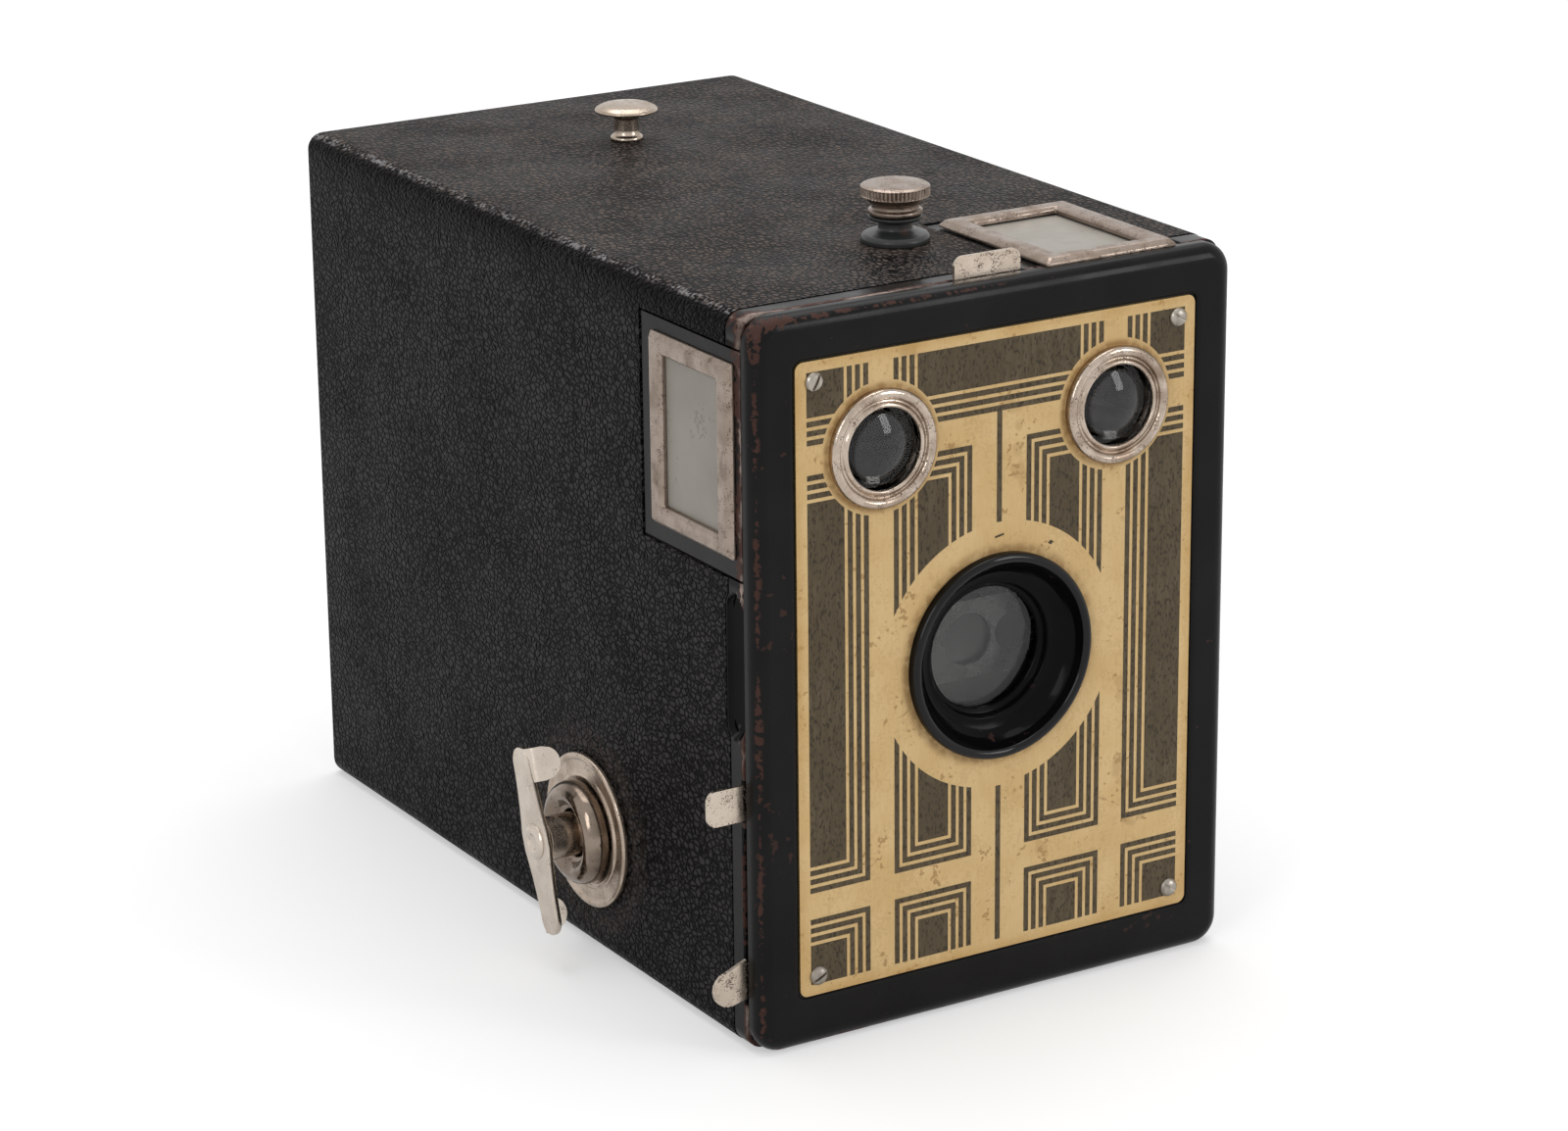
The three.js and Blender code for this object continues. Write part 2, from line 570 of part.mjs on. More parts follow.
function topFinder() {
  const { wall, front } = FINDER_BOX;
  const [left, right, low, high] = [8.9, 30.3, 68.9, 100.9];
  const rear = 28.7;
  const shell = block(left, right, front, rear, low, high);
  const inside = block(left + wall, right - wall, front + wall, rear - wall, low + wall, high + 1);
  const eye = turnedY(rod(6.2, 0, 4), FINDER.x, FINDER.z);
  const flange = block(TOP_NOTCH.left + 0.4, TOP_NOTCH.right - 0.4, LIP_FRONT - 0.1,
    TOP_NOTCH.rear - 0.4, high, 101.8);
  const { wide, long } = WINDOW;
  const x = TOP_WINDOW_X;
  const seat = block(x - wide / 2 - 0.8, x + wide / 2 + 0.8, WINDOW_MID - long / 2 - 0.8,
    WINDOW_MID + long / 2 + 0.8, high - 1, HEIGHT + 1);
  piece('finder_box_top', cut(join(shell.subtract(inside), flange), eye, seat), ENAMEL());
  const glass = block(x - wide / 2 - 0.6, x + wide / 2 + 0.6, WINDOW_MID - long / 2 - 0.6,
    WINDOW_MID + long / 2 + 0.6, high + 0.05, 101.75);
  piece('finder_glass_top', glass, GROUND_GLASS());
  const frame = windowFrame(WINDOW.frameWide, WINDOW.frameLong, wide, long);
  const seated = new THREE.Matrix4().setPosition(x, at(WINDOW_MID), HEIGHT + 0.05);
  piece('finder_frame_top', place(frame, seated), NICKEL());
  const mirror = strip([[6.2, 73.6], [25.4, 92.8]], 0.8);
  piece('finder_mirror_top', sheetX(mirror, left + wall + GAP, right - wall - GAP), MIRROR());
}

// ---- shutter board and controls -----------------------------------------------------------
function shutterBoard() {
  const plate = block(-PLATE_X + 0.1, PLATE_X - 0.1, BOARD.front, BOARD.rear, 3, 66);
  const neck = block(-7.6, 7.6, BOARD.front, BOARD.rear, 66, 99.9);
  const shelf = block(-7.6, 7.6, BOARD.front, 36, 99.1, 99.9);
  const slot = block(-1.9, 1.9, POST.depth - 3.5, 37, 98, 101);
  const aperture = turnedY(rod(6.2, 9, 12), 0, LENS_Z);
  const axes = [[0, DISC.z], [LEVER.x, LEVER.z]];
  const pivots = axes.map(([x, z]) => turnedY(rod(1.15, 9, 12), x, z, SMALL));
  return cut(join(plate, neck, shelf), slot, aperture, ...pivots);
}

function pivotRivet(x, z, front) {
  const profile = [[0, front], [1.9, front], [1.9, front + 0.4], [1.0, front + 0.4], [1.0, 11.4],
    [1.9, 11.4], [1.9, 11.9], [0, 11.9]];
  return turnedY(profile, x, z, SMALL);
}

function shutterDisc() {
  const disc = turnedY(rod(DISC.r, DISC.front, DISC.rear, 1.3), 0, DISC.z, FINE);
  const reach = LENS_Z - DISC.z;
  const turn = THREE.MathUtils.degToRad(33);
  const [x, z] = [reach * Math.sin(turn), DISC.z + reach * Math.cos(turn)];
  const hole = turnedY(rod(DISC.hole, 8, 11), x, z, SMALL);
  return disc.subtract(hole);
}

/** The lever is drawn level, with its round thumb end at the left, and set down to its rest angle. */
function shutterLever() {
  const { x, z, reach, tip, halfTurn } = LEVER;
  const arm = new THREE.Shape();
  arm.moveTo(0, 4);
  arm.lineTo(-reach, 2.2);
  arm.lineTo(-reach, 2.9);
  arm.lineTo(-reach - 3.2, 2.2);
  arm.absarc(-tip + 2.5, -0.3, 2.5, 1.75, 1.5 * Math.PI);
  arm.lineTo(-reach, -2.6);
  arm.lineTo(-reach, -2.2);
  arm.lineTo(0, -4);
  arm.absarc(0, 0, 4, -Math.PI / 2, Math.PI / 2);
  const flat = sheetY(arm, TAB_PLANE.front, TAB_PLANE.rear);
  const level = flat.subtract(turnedY(rod(1.2, 2, 5), 0, 0, SMALL));
  const turn = new THREE.Matrix4().makeRotationY(THREE.MathUtils.degToRad(-halfTurn));
  return place(level, turn.setPosition(x, 0, z));
}

function leverSpring() {
  const r = 2.6;
  const turns = 3.5;
  const helix = [];
  for (let i = 0; i <= turns * 10; i += 1) {
    const angle = (i / 10) * 2 * Math.PI;
    const depth = 4.9 + (i / (turns * 10)) * 3.6;
    helix.push(new THREE.Vector3(r * Math.cos(angle), depth, r * Math.sin(angle)));
  }
  helix.push(new THREE.Vector3(-11, 8.5, 1));
  const wire = new THREE.Shape();
  wire.absarc(0, 0, 0.25, 0, 2 * Math.PI);
  const path = new THREE.CatmullRomCurve3(helix, false, 'centripetal');
  const geometry = new THREE.ExtrudeGeometry(wire, { steps: 72, curveSegments: 2, extrudePath: path });
  geometry.translate(LEVER.x, FRONT, LEVER.z);
  return solid(geometry);
}

function stopSlide() {
  const { low, high, large, small, pitch } = STOP;
  const plane = (SLIDE_PLANE.front + SLIDE_PLANE.rear) / 2;
  const outer = (TAB_PLANE.front + TAB_PLANE.rear) / 2;
  const bend = strip([[-18, plane], [-21.5, plane], [-25.5, outer], [-TAB.out + 3, outer]], 0.5);
  const ribbon = sheetZ(bend, low, high);
  const tip = roundedRect(-TAB.out, -INNER_X, low, high, TAB.corner);
  const ear = sheetY(tip, TAB_PLANE.front, TAB_PLANE.rear);
  const arm = block(-18, -12, SLIDE_PLANE.front, SLIDE_PLANE.rear, low, LENS_Z + 5.5);
  const face = block(-12, 13, SLIDE_PLANE.front, SLIDE_PLANE.rear, LENS_Z - 5.5, LENS_Z + 5.5);
  const holes = [[0, large], [pitch, small]].map(([x, r]) => turnedY(rod(r, 7, 10), x, LENS_Z));
  return cut(join(ribbon, ear, arm, face), ...holes);
}

function timeSlide() {
  const upright = block(-4, 4, TAB_PLANE.front, TAB_PLANE.rear, 62.5, HEIGHT - 1);
  const guide = sheetY(roundedRect(-1.2, 1.2, 66, 76, 1.1), 3, 5);
  const tab = roundedRect(TAB.left, TAB.right, INNER_TOP - 1, HEIGHT + TAB.rise, TAB.corner);
  return join(upright, sheetY(tab, TAB_PLANE.front, TAB_PLANE.rear)).subtract(guide);
}

function shutter() {
  piece('shutter_board', shutterBoard(), BLACK_STEEL());
  piece('shutter_disc', shutterDisc(), BLACK_STEEL());
  piece('disc_pivot', pivotRivet(0, DISC.z, 8.55), STEEL_GREY());
  piece('shutter_lever', shutterLever(), NICKEL());
  piece('lever_pivot', pivotRivet(LEVER.x, LEVER.z, 2.6), STEEL_GREY());
  piece('lever_spring', leverSpring(), STEEL_GREY());
  piece('stop_slide', stopSlide(), NICKEL());
  piece('time_slide', timeSlide(), NICKEL());
}

// ---- inner section: cone, side plates, film path -------------------------------------------
/** A four-sided tapered solid between two rectangles centred on the lens axis. */
function taper(d0, x0, z0, d1, x1, z1) {
  const geometry = new THREE.BoxGeometry(2, d1 - d0, 2);
  const place3 = geometry.attributes.position;
  for (let i = 0; i < place3.count; i += 1) {
    const back = place3.getY(i) > 0;
    place3.setX(i, place3.getX(i) * (back ? x1 : x0));
    place3.setZ(i, place3.getZ(i) * (back ? z1 : z0));
  }
  geometry.translate(0, at((d0 + d1) / 2), LENS_Z);
  return solid(geometry);
}

function lensCone() {
  const { front, back, x0, z0, x1, z1, wall } = CONE;
  const outside = taper(front, x0, z0, back, x1, z1);
  const inside = taper(front - 1, x0 - wall, z0 - wall, back + 1, x1 - wall, z1 - wall);
  const nose = block(-x0, x0, BOARD.rear, front + 0.1, LENS_Z - z0, LENS_Z + z0)
    .subtract(turnedY(rod(7.5, 10, 15), 0, LENS_Z));
  const rim = block(-PLATE_X + 0.1, PLATE_X - 0.1, back, back + 1, ROLLER.low + ROLLER.r + GAP,
    ROLLER.high - ROLLER.r - GAP);
  const gate = block(-GATE.x, GATE.x, back - 1, back + 2, LENS_Z - GATE.z, LENS_Z + GATE.z);
  const keyWay = block(-PLATE_X - 1, -31.3, back - 1, back + 2, KEY.z - 3.2, KEY.z + 3.2);
  return cut(join(outside.subtract(inside), nose, rim), gate, keyWay);
}

function sidePlate(side) {
  const outline = [[BOARD.rear, 3], [REAR, 3], [REAR, 98], [29.1, 98], [29.1, 66.1], [1.0, 66.1],
    [1.0, 40.5], [BOARD.rear, 40.5]];
  const [x0, x1] = side < 0 ? [-PLATE_X - PLATE_T, -PLATE_X] : [PLATE_X, PLATE_X + PLATE_T];
  const plate = sheetX(polygon(outline), x0, x1);
  const hole = (r, depth, z) => turnedX(rod(r, x0 - 1, x1 + 1), depth, z, SMALL);
  const journals = [ROLLER.low, ROLLER.high].map((z) => hole(1.15, ROLLER.depth, z));
  const supplyHole = hole(1.2, SUPPLY.depth, SUPPLY.z);
  const keyWay = block(x0 - 1, x1 + 1, KEY.depth - 2.8, REAR + 1, KEY.z - 2.8, KEY.z + 2.8);
  const takeUpHole = side < 0 ? keyWay : hole(1.2, TAKE_UP.depth, TAKE_UP.z);
  return cut(plate, ...journals, supplyHole, takeUpHole);
}

function spoolPin(side, { depth, z }) {
  const outside = PLATE_X + PLATE_T;
  const profile = [[0, outside + 0.5], [1.9, outside + 0.5], [1.9, outside + 0.05],
    [1.05, outside + 0.05], [1.05, PLATE_X - 0.05], [2.2, PLATE_X - 0.05], [2.2, 32.3], [1.7, 31.9],
    [0, 31.9]];
  return turnedX(profile.map(([r, x]) => [r, side * x]), depth, z, SMALL);
}

function filmRoller(z) {
  const end = PLATE_X - GAP;
  const tip = PLATE_X + 0.7;
  const profile = [[0, -tip], [1.0, -tip], [1.0, -end], [ROLLER.r, -end], [ROLLER.r, end], [1.0, end],
    [1.0, tip], [0, tip]];
  return turnedX(profile, ROLLER.depth, z, SMALL);
}

function takeUpSpool() {
  const half = [[4.0, 0], [4.0, 30.8], [11.75, 30.8], [11.75, 31.6], [4.5, 31.6], [4.5, 33.0]];
  const left = half.slice(1).reverse().map(([r, x]) => [r, -x]);
  const body = turnedX([[0, -33], ...left, ...half.slice(1), [0, 33]], TAKE_UP.depth, TAKE_UP.z, FINE);
  const slot = (x0, x1, halfDepth, halfHeight) => block(x0, x1, TAKE_UP.depth - halfDepth,
    TAKE_UP.depth + halfDepth, TAKE_UP.z - halfHeight, TAKE_UP.z + halfHeight);
  const driveSlot = slot(-34, -31.6, 6, 0.9);
  const pinHole = turnedX(rod(2.5, 31.0, 34), TAKE_UP.depth, TAKE_UP.z, SMALL);
  const paperSlot = slot(-28, 28, 0.5, 6);
  return cut(body, driveSlot, pinHole, paperSlot);
}

/** A leaf that holds the roll tight, fixed to the cone's lower or upper wall. */
function filmSpring(up) {
  const slope = (CONE.z1 - CONE.z0) / (CONE.back - CONE.front);
  const wallAt = (depth) => LENS_Z - CONE.z0 - slope * (depth - CONE.front) - 0.55;
  const line = [[86, wallAt(86)], [66, wallAt(66)], [58, 25.4], [47, 24.2]];
  const points = up ? line.map(([d, z]) => [d, 2 * LENS_Z - z]) : line;
  return sheetX(strip(points, 0.4), -5, 5);
}

function filmSection() {
  piece('lens_cone', lensCone(), BLACK_STEEL());
  piece('side_plate_left', sidePlate(-1), BLACK_STEEL());
  piece('side_plate_right', sidePlate(1), BLACK_STEEL());
  piece('take_up_pin', spoolPin(1, TAKE_UP), STEEL_GREY());
  piece('supply_pin_left', spoolPin(-1, SUPPLY), STEEL_GREY());
  piece('supply_pin_right', spoolPin(1, SUPPLY), STEEL_GREY());
  piece('film_roller_low', filmRoller(ROLLER.low), STEEL_GREY());
  piece('film_roller_high', filmRoller(ROLLER.high), STEEL_GREY());
  piece('take_up_spool', takeUpSpool(), BLACK_STEEL());
  piece('film_spring_low', filmSpring(false), STEEL_GREY());
  piece('film_spring_high', filmSpring(true), STEEL_GREY());
}

body();
topFittings();
windingKey();
frontFace();
sideFinder();
topFinder();
shutter();
filmSection();

export default camera;
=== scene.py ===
"""Looks of a roll-film box camera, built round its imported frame.

The shapes' sizes are millimetres and become metres in the meshes, while the finishes and
the lamps are in metres. A depth is measured from the front face towards the back, and x
and z are those of the frame.
"""
import logging
import math
from collections.abc import Callable, Iterable, Mapping, Sequence
from dataclasses import dataclass, field
from enum import Enum

import bmesh
import bpy
from mathutils import Matrix, Vector
from mathutils.geometry import tessellate_polygon


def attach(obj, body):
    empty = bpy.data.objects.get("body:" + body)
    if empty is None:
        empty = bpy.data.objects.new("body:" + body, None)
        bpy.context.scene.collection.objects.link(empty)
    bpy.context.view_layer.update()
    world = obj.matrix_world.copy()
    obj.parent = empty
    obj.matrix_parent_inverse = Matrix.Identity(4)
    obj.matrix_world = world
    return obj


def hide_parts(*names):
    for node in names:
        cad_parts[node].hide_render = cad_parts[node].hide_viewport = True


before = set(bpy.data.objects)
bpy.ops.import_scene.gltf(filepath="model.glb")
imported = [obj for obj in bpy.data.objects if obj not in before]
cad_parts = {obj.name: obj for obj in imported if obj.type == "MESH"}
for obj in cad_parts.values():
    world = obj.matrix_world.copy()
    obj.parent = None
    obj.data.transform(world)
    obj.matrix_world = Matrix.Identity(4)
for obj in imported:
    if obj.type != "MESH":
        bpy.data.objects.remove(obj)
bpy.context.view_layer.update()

LOG = logging.getLogger("box_camera")

MM = 0.001
FRONT_Y = -65.0
SHARP_ANGLE = math.radians(32)
HALF_TURN = math.pi
FULL_TURN = 2 * math.pi

Socket = bpy.types.NodeSocket
Pair = tuple[float, float]
Ring = list[bmesh.types.BMVert]
Colour = tuple[float, float, float]
Spot = tuple[float, float, float]
Lay = Callable[[float, float, float], Vector]
Wave = Callable[[float, float], float]


class Rides(Enum):
    """The moving bodies of the frame that pieces ride on."""

    SHELL = "root"
    SECTION = "front_section"
    KNOB = "clamp_knob"
    HUB = "key_hub"
    KEY = "winding_key"


class Slot(Enum):
    """The record's material slots."""

    ENAMEL = "black_enamel"
    LEATHER = "leatherette"
    NICKEL = "nickel"
    STEEL = "plain_steel"
    LACQUER = "plate_lacquer"
    GLASS = "lens_glass"
    GROUND = "ground_glass"
    MIRROR = "mirror_silver"
    DARK_STEEL = "blackened_steel"
    RED = "red_celluloid"


class Axis(Enum):
    """The axis that a turned piece is turned about."""

    X = 0
    Y = 1
    Z = 2


def place(x: float, depth: float, z: float) -> Vector:
    """A point of the frame in metres, from millimetres and a depth."""
    return Vector((x * MM, (FRONT_Y + depth) * MM, z * MM))


def scaled(colour: Colour, factor: float) -> Colour:
    """A colour with each of its parts multiplied."""
    return tuple(part * factor for part in colour)


def hang(name: str, data: bpy.types.ID) -> bpy.types.Object:
    """Adds an object to the scene."""
    piece = bpy.data.objects.new(name, data)
    bpy.context.scene.collection.objects.link(piece)
    return piece


# ---- node trees ----------------------------------------------------------------------
class Sheet:
    """A node tree with short ways to add and join its nodes."""

    def __init__(self, tree: bpy.types.NodeTree) -> None:
        """Takes hold of a node tree.

        Args:
            tree: the tree that nodes are added to.
        """
        self.tree = tree

    def feed(self, socket: Socket, value: object) -> None:
        """Links or sets an input.

        Args:
            socket: the input socket.
            value: another socket to link, or a plain value to set.
        """
        if isinstance(value, bpy.types.NodeSocket):
            self.tree.links.new(value, socket)
        else:
            socket.default_value = value

    def add(
        self, kind: str, inputs: Mapping[str | int, object] | None = None, **settings: object
    ) -> bpy.types.Node:
        """Adds a node.

        Args:
            kind: the node's type without its ShaderNode prefix.
            inputs: values or sockets for its inputs, by name or number.
            **settings: the node's own properties.

        Returns:
            The new node.
        """
        node = self.tree.nodes.new("ShaderNode" + kind)
        for key, value in settings.items():
            setattr(node, key, value)
        for key, value in (inputs or {}).items():
            self.feed(node.inputs[key], value)
        return node

    def math(self, operation: str, *values: object, clamp: bool = False) -> Socket:
        """Adds a Math node.

        Args:
            operation: the sum to do.
            *values: its one to three inputs.
            clamp: whether the result is kept between 0 and 1.

        Returns:
            The result's socket.
        """
        node = self.add("Math", operation=operation, use_clamp=clamp)
        for socket, value in zip(node.inputs, values):
            self.feed(socket, value)
        return node.outputs[0]

    def blend(self, share: object, low: object, high: object) -> Socket:
        """Mixes two colours.

        Args:
            share: how much of the second colour shows.
            low: the first colour, three numbers or a socket.
            high: the second colour, three numbers or a socket.

        Returns:
            The mixed colour's socket.
        """
        node = self.add("Mix", data_type="RGBA")
        self.feed(node.inputs[0], share)
        for index, colour in ((6, low), (7, high)):
            solid = isinstance(colour, tuple)
            self.feed(node.inputs[index], (*colour, 1.0) if solid else colour)
        return node.outputs[2]

    def span(
        self, value: object, start: object, end: object, low: object = 0.0, high: object = 1.0
    ) -> Socket:
        """Maps a range smoothly onto another one.

        Args:
            value: the socket to map.
            start: the value that gives low.
            end: the value that gives high.
            low: the result at start.
            high: the result at end.

        Returns:
            The mapped value's socket.
        """
        names = ("Value", "From Min", "From Max", "To Min", "To Max")
        inputs = dict(zip(names, (value, start, end, low, high)))
        node = self.add("MapRange", interpolation_type="SMOOTHSTEP", inputs=inputs)
        return node.outputs["Result"]

    def here(self) -> Socket:
        """The surface point in the frame's own axes."""
        return self.add("TexCoord").outputs["Object"]

    def parts(self, vector: Socket) -> tuple[Socket, Socket, Socket]:
        """The three components of a vector socket."""
        node = self.add("SeparateXYZ", inputs={"Vector": vector})
        return tuple(node.outputs)

    def noise(self, scale: object, detail: float = 2.0, stretch: Colour | None = None) -> Socket:
        """Adds a noise over the surface point.

        Args:
            scale: lumps per metre.
            detail: how many finer layers are added.
            stretch: scale factors along x, y and z.

        Returns:
            The noise value's socket.
        """
        where = self.here()
        if stretch:
            where = self.add("VectorMath", operation="MULTIPLY", inputs={0: where, 1: stretch}).outputs[0]
        inputs = {"Vector": where, "Scale": scale, "Detail": detail}
        return self.add("TexNoise", inputs=inputs).outputs["Fac"]

    def bump(self, height: Socket, distance: float, strength: float = 1.0) -> Socket:
        """Turns a height into a normal.

        Args:
            height: the height socket, from 0 to 1.
            distance: the real height of 1, in metres.
            strength: the share of the effect that is used.

        Returns:
            The normal's socket.
        """
        inputs = {"Height": height, "Distance": distance, "Strength": strength}
        return self.add("Bump", inputs=inputs).outputs["Normal"]


Recipe = Callable[[Sheet, Mapping[str, Socket]], Mapping[str, Socket]]


@dataclass(frozen=True)
class Effect:
    """A surface effect shared by several finishes, kept as one node group."""

    name: str
    inputs: Mapping[str, float]
    outputs: tuple[str, ...]
    recipe: Recipe

    def tree(self) -> bpy.types.NodeTree:
        """The node group, built when it is first asked for."""
        found = bpy.data.node_groups.get(self.name)
        if found:
            return found
        tree = bpy.data.node_groups.new(self.name, "ShaderNodeTree")
        for name, default in self.inputs.items():
            socket = tree.interface.new_socket(name=name, in_out="INPUT", socket_type="NodeSocketFloat")
            socket.default_value = default
        for name in self.outputs:
            tree.interface.new_socket(name=name, in_out="OUTPUT", socket_type="NodeSocketFloat")
        given = tree.nodes.new("NodeGroupInput").outputs
        made = self.recipe(Sheet(tree), {name: given[name] for name in self.inputs})
        ends = tree.nodes.new("NodeGroupOutput").inputs
        for name, socket in made.items():
            tree.links.new(socket, ends[name])
        return tree

    def on(self, sheet: Sheet, **values: object) -> bpy.types.NodeOutputs:
        """Places the effect in a material.

        Args:
            sheet: the material's node sheet.
            **values: inputs by name, with spaces written as underscores.

        Returns:
            The placed group's outputs.
        """
        node = sheet.tree.nodes.new("ShaderNodeGroup")
        node.node_tree = self.tree()
        for key, value in values.items():
            sheet.feed(node.inputs[key.replace("_", " ").title()], value)
        return node.outputs


def patches(sheet: Sheet, given: Mapping[str, Socket]) -> Mapping[str, Socket]:
    """Broad, slow variation between two values.

    Args:
        sheet: the group's sheet.
        given: the group's inputs.

    Returns:
        The varying value.
    """
    cloud = sheet.noise(given["Scale"], detail=3.0)
    return {"Value": sheet.span(cloud, 0.32, 0.68, given["Low"], given["High"])}


def specks(sheet: Sheet, given: Mapping[str, Socket]) -> Mapping[str, Socket]:
    """Small spots that gather in clusters.

    Args:
        sheet: the group's sheet.
        given: the group's inputs.

    Returns:
        The spots' mask.
    """
    fine = sheet.noise(given["Scale"], detail=2.0)
    broad = sheet.noise(sheet.math("MULTIPLY", given["Scale"], 0.13), detail=2.0)
    lift = sheet.math("MULTIPLY", sheet.math("SUBTRACT", broad, 0.5), given["Cluster"])
    level = sheet.math("ADD", fine, lift)
    end = sheet.math("ADD", given["Threshold"], 0.06)
    return {"Mask": sheet.span(level, given["Threshold"], end)}


def rubbed_edge(sheet: Sheet, given: Mapping[str, Socket]) -> Mapping[str, Socket]:
    """Paint rubbed off along the edges of a box, more at its left than at its right.

    Args:
        sheet: the group's sheet.
        given: the group's inputs.

    Returns:
        The rubbed mask and its barest middle.
    """
    x, y, z = sheet.parts(sheet.here())
    off_side = sheet.math("SUBTRACT", given["Half Width"], sheet.math("ABSOLUTE", x))
    off_base = sheet.math("SUBTRACT", z, given["Bottom"])
    off_top = sheet.math("SUBTRACT", given["Top"], z)
    off_height = sheet.math("MINIMUM", off_base, off_top)
    off_front = sheet.math("SUBTRACT", y, given["Front"])
    low = sheet.math("MINIMUM", off_side, off_height)
    high = sheet.math("MAXIMUM", off_side, off_height)
    near = sheet.math("MAXIMUM", low, sheet.math("MINIMUM", high, off_front))
    lean = sheet.span(x, -0.030, 0.030, given["Left Gain"], 0.55)
    aside = sheet.math("ADD", x, given["Half Width"])
    apart = sheet.math(
        "SQRT", sheet.math("ADD", sheet.math("POWER", aside, 2.0), sheet.math("POWER", off_top, 2.0))
    )
    lean = sheet.math("ADD", lean, sheet.span(apart, 0.0075, 0.001, 0.0, given["Corner Gain"]))
    ragged = sheet.span(sheet.noise(1100.0, detail=5.0), 0.30, 0.62, 0.0, 1.0)
    broad = sheet.span(sheet.noise(95.0, detail=2.0), 0.34, 0.62, 0.5, 1.0)
    reach = sheet.math("MULTIPLY", sheet.math("MULTIPLY", given["Reach"], lean), broad)
    reach = sheet.math("MULTIPLY", reach, sheet.math("MULTIPLY_ADD", ragged, 1.1, 0.45))
    soft = sheet.math("MULTIPLY", reach, 0.72)
    core = sheet.math("MULTIPLY", reach, 0.5)
    return {
        "Mask": sheet.span(near, reach, soft),
        "Core": sheet.span(near, core, sheet.math("MULTIPLY", core, 0.6)),
    }


def pebble_grain(sheet: Sheet, given: Mapping[str, Socket]) -> Mapping[str, Socket]:
    """Small raised pebbles with creases between them.

    Args:
        sheet: the group's sheet.
        given: the group's inputs.

    Returns:
        The height, the creases' mask and the pebbles' tips.
    """
    where = sheet.add(
        "VectorMath", operation="MULTIPLY", inputs={0: sheet.here(), 1: (1.0, 0.68, 1.0)}
    ).outputs[0]
    coarse = sheet.math("MULTIPLY", given["Scale"], 0.55)
    wander = sheet.add("TexNoise", inputs={"Vector": where, "Scale": coarse, "Detail": 2.0})
    push = sheet.add(
        "VectorMath", operation="SCALE", inputs={0: wander.outputs["Color"], "Scale": given["Wander"]}
    )
    moved = sheet.add("VectorMath", operation="ADD", inputs={0: where, 1: push.outputs[0]})
    cells = sheet.add(
        "TexVoronoi",
        feature="DISTANCE_TO_EDGE",
        inputs={"Vector": moved.outputs[0], "Scale": given["Scale"]},
    )
    pebble = sheet.span(cells.outputs["Distance"], 0.0, 0.26)
    fine = sheet.noise(sheet.math("MULTIPLY", given["Scale"], 3.1), detail=2.0)
    rise = sheet.noise(sheet.math("MULTIPLY", given["Scale"], 0.35), detail=2.0)
    height = sheet.math("MULTIPLY_ADD", fine, 0.22, sheet.math("MULTIPLY", pebble, 0.62))
    height = sheet.math("MULTIPLY_ADD", rise, 0.35, height)
    crease = sheet.span(sheet.math("MULTIPLY_ADD", rise, 0.5, pebble), 0.95, 0.35)
    return {"Height": height, "Crease": crease, "Tip": sheet.span(height, 0.72, 1.0)}


def hairlines(sheet: Sheet, given: Mapping[str, Socket]) -> Mapping[str, Socket]:
    """Fine upright streaks.

    Args:
        sheet: the group's sheet.
        given: the group's inputs.

    Returns:
        The streaks' value.
    """
    streak = sheet.noise(given["Scale"], detail=3.0, stretch=(1.0, 1.0, 0.16))
    return {"Value": sheet.span(streak, 0.36, 0.66)}


def halo(sheet: Sheet, given: Mapping[str, Socket]) -> Mapping[str, Socket]:
    """A soft, broken ring round a point, where dirt settles or a finish is rubbed.

    Args:
        sheet: the group's sheet.
        given: the group's inputs.

    Returns:
        The ring's mask.
    """
    centre = sheet.add("CombineXYZ", inputs={"X": given["X"], "Y": given["Y"], "Z": given["Z"]})
    gap = sheet.add("VectorMath", operation="DISTANCE", inputs={0: sheet.here(), 1: centre.outputs[0]})
    off = sheet.math("ABSOLUTE", sheet.math("SUBTRACT", gap.outputs["Value"], given["Radius"]))
    near = sheet.span(off, given["Spread"], 0.0)
    broken = sheet.span(sheet.noise(900.0, detail=4.0), 0.34, 0.62, given["Evenness"], 1.0)
    return {"Mask": sheet.math("MULTIPLY", near, broken)}


PATCHES = Effect("patches", {"Scale": 60.0, "Low": 0.0, "High": 1.0}, ("Value",), patches)
SPECKS = Effect("specks", {"Scale": 1500.0, "Threshold": 0.62, "Cluster": 0.6}, ("Mask",), specks)
RUBBED_EDGE = Effect(
    "rubbed_edge",
    {
        "Half Width": 0.038, "Bottom": 0.0, "Top": 0.102, "Front": -0.065, "Reach": 0.001,
        "Left Gain": 1.8, "Corner Gain": 3.0,
    },
    ("Mask", "Core"),
    rubbed_edge,
)
PEBBLE_GRAIN = Effect(
    "pebble_grain", {"Scale": 1400.0, "Wander": 0.0006}, ("Height", "Crease", "Tip"), pebble_grain
)
HAIRLINES = Effect("hairlines", {"Scale": 1600.0}, ("Value",), hairlines)
HALO = Effect(
    "halo",
    {"X": 0.0, "Y": 0.0, "Z": 0.0, "Radius": 0.005, "Spread": 0.002, "Evenness": 0.2},
    ("Mask",),
    halo,
)


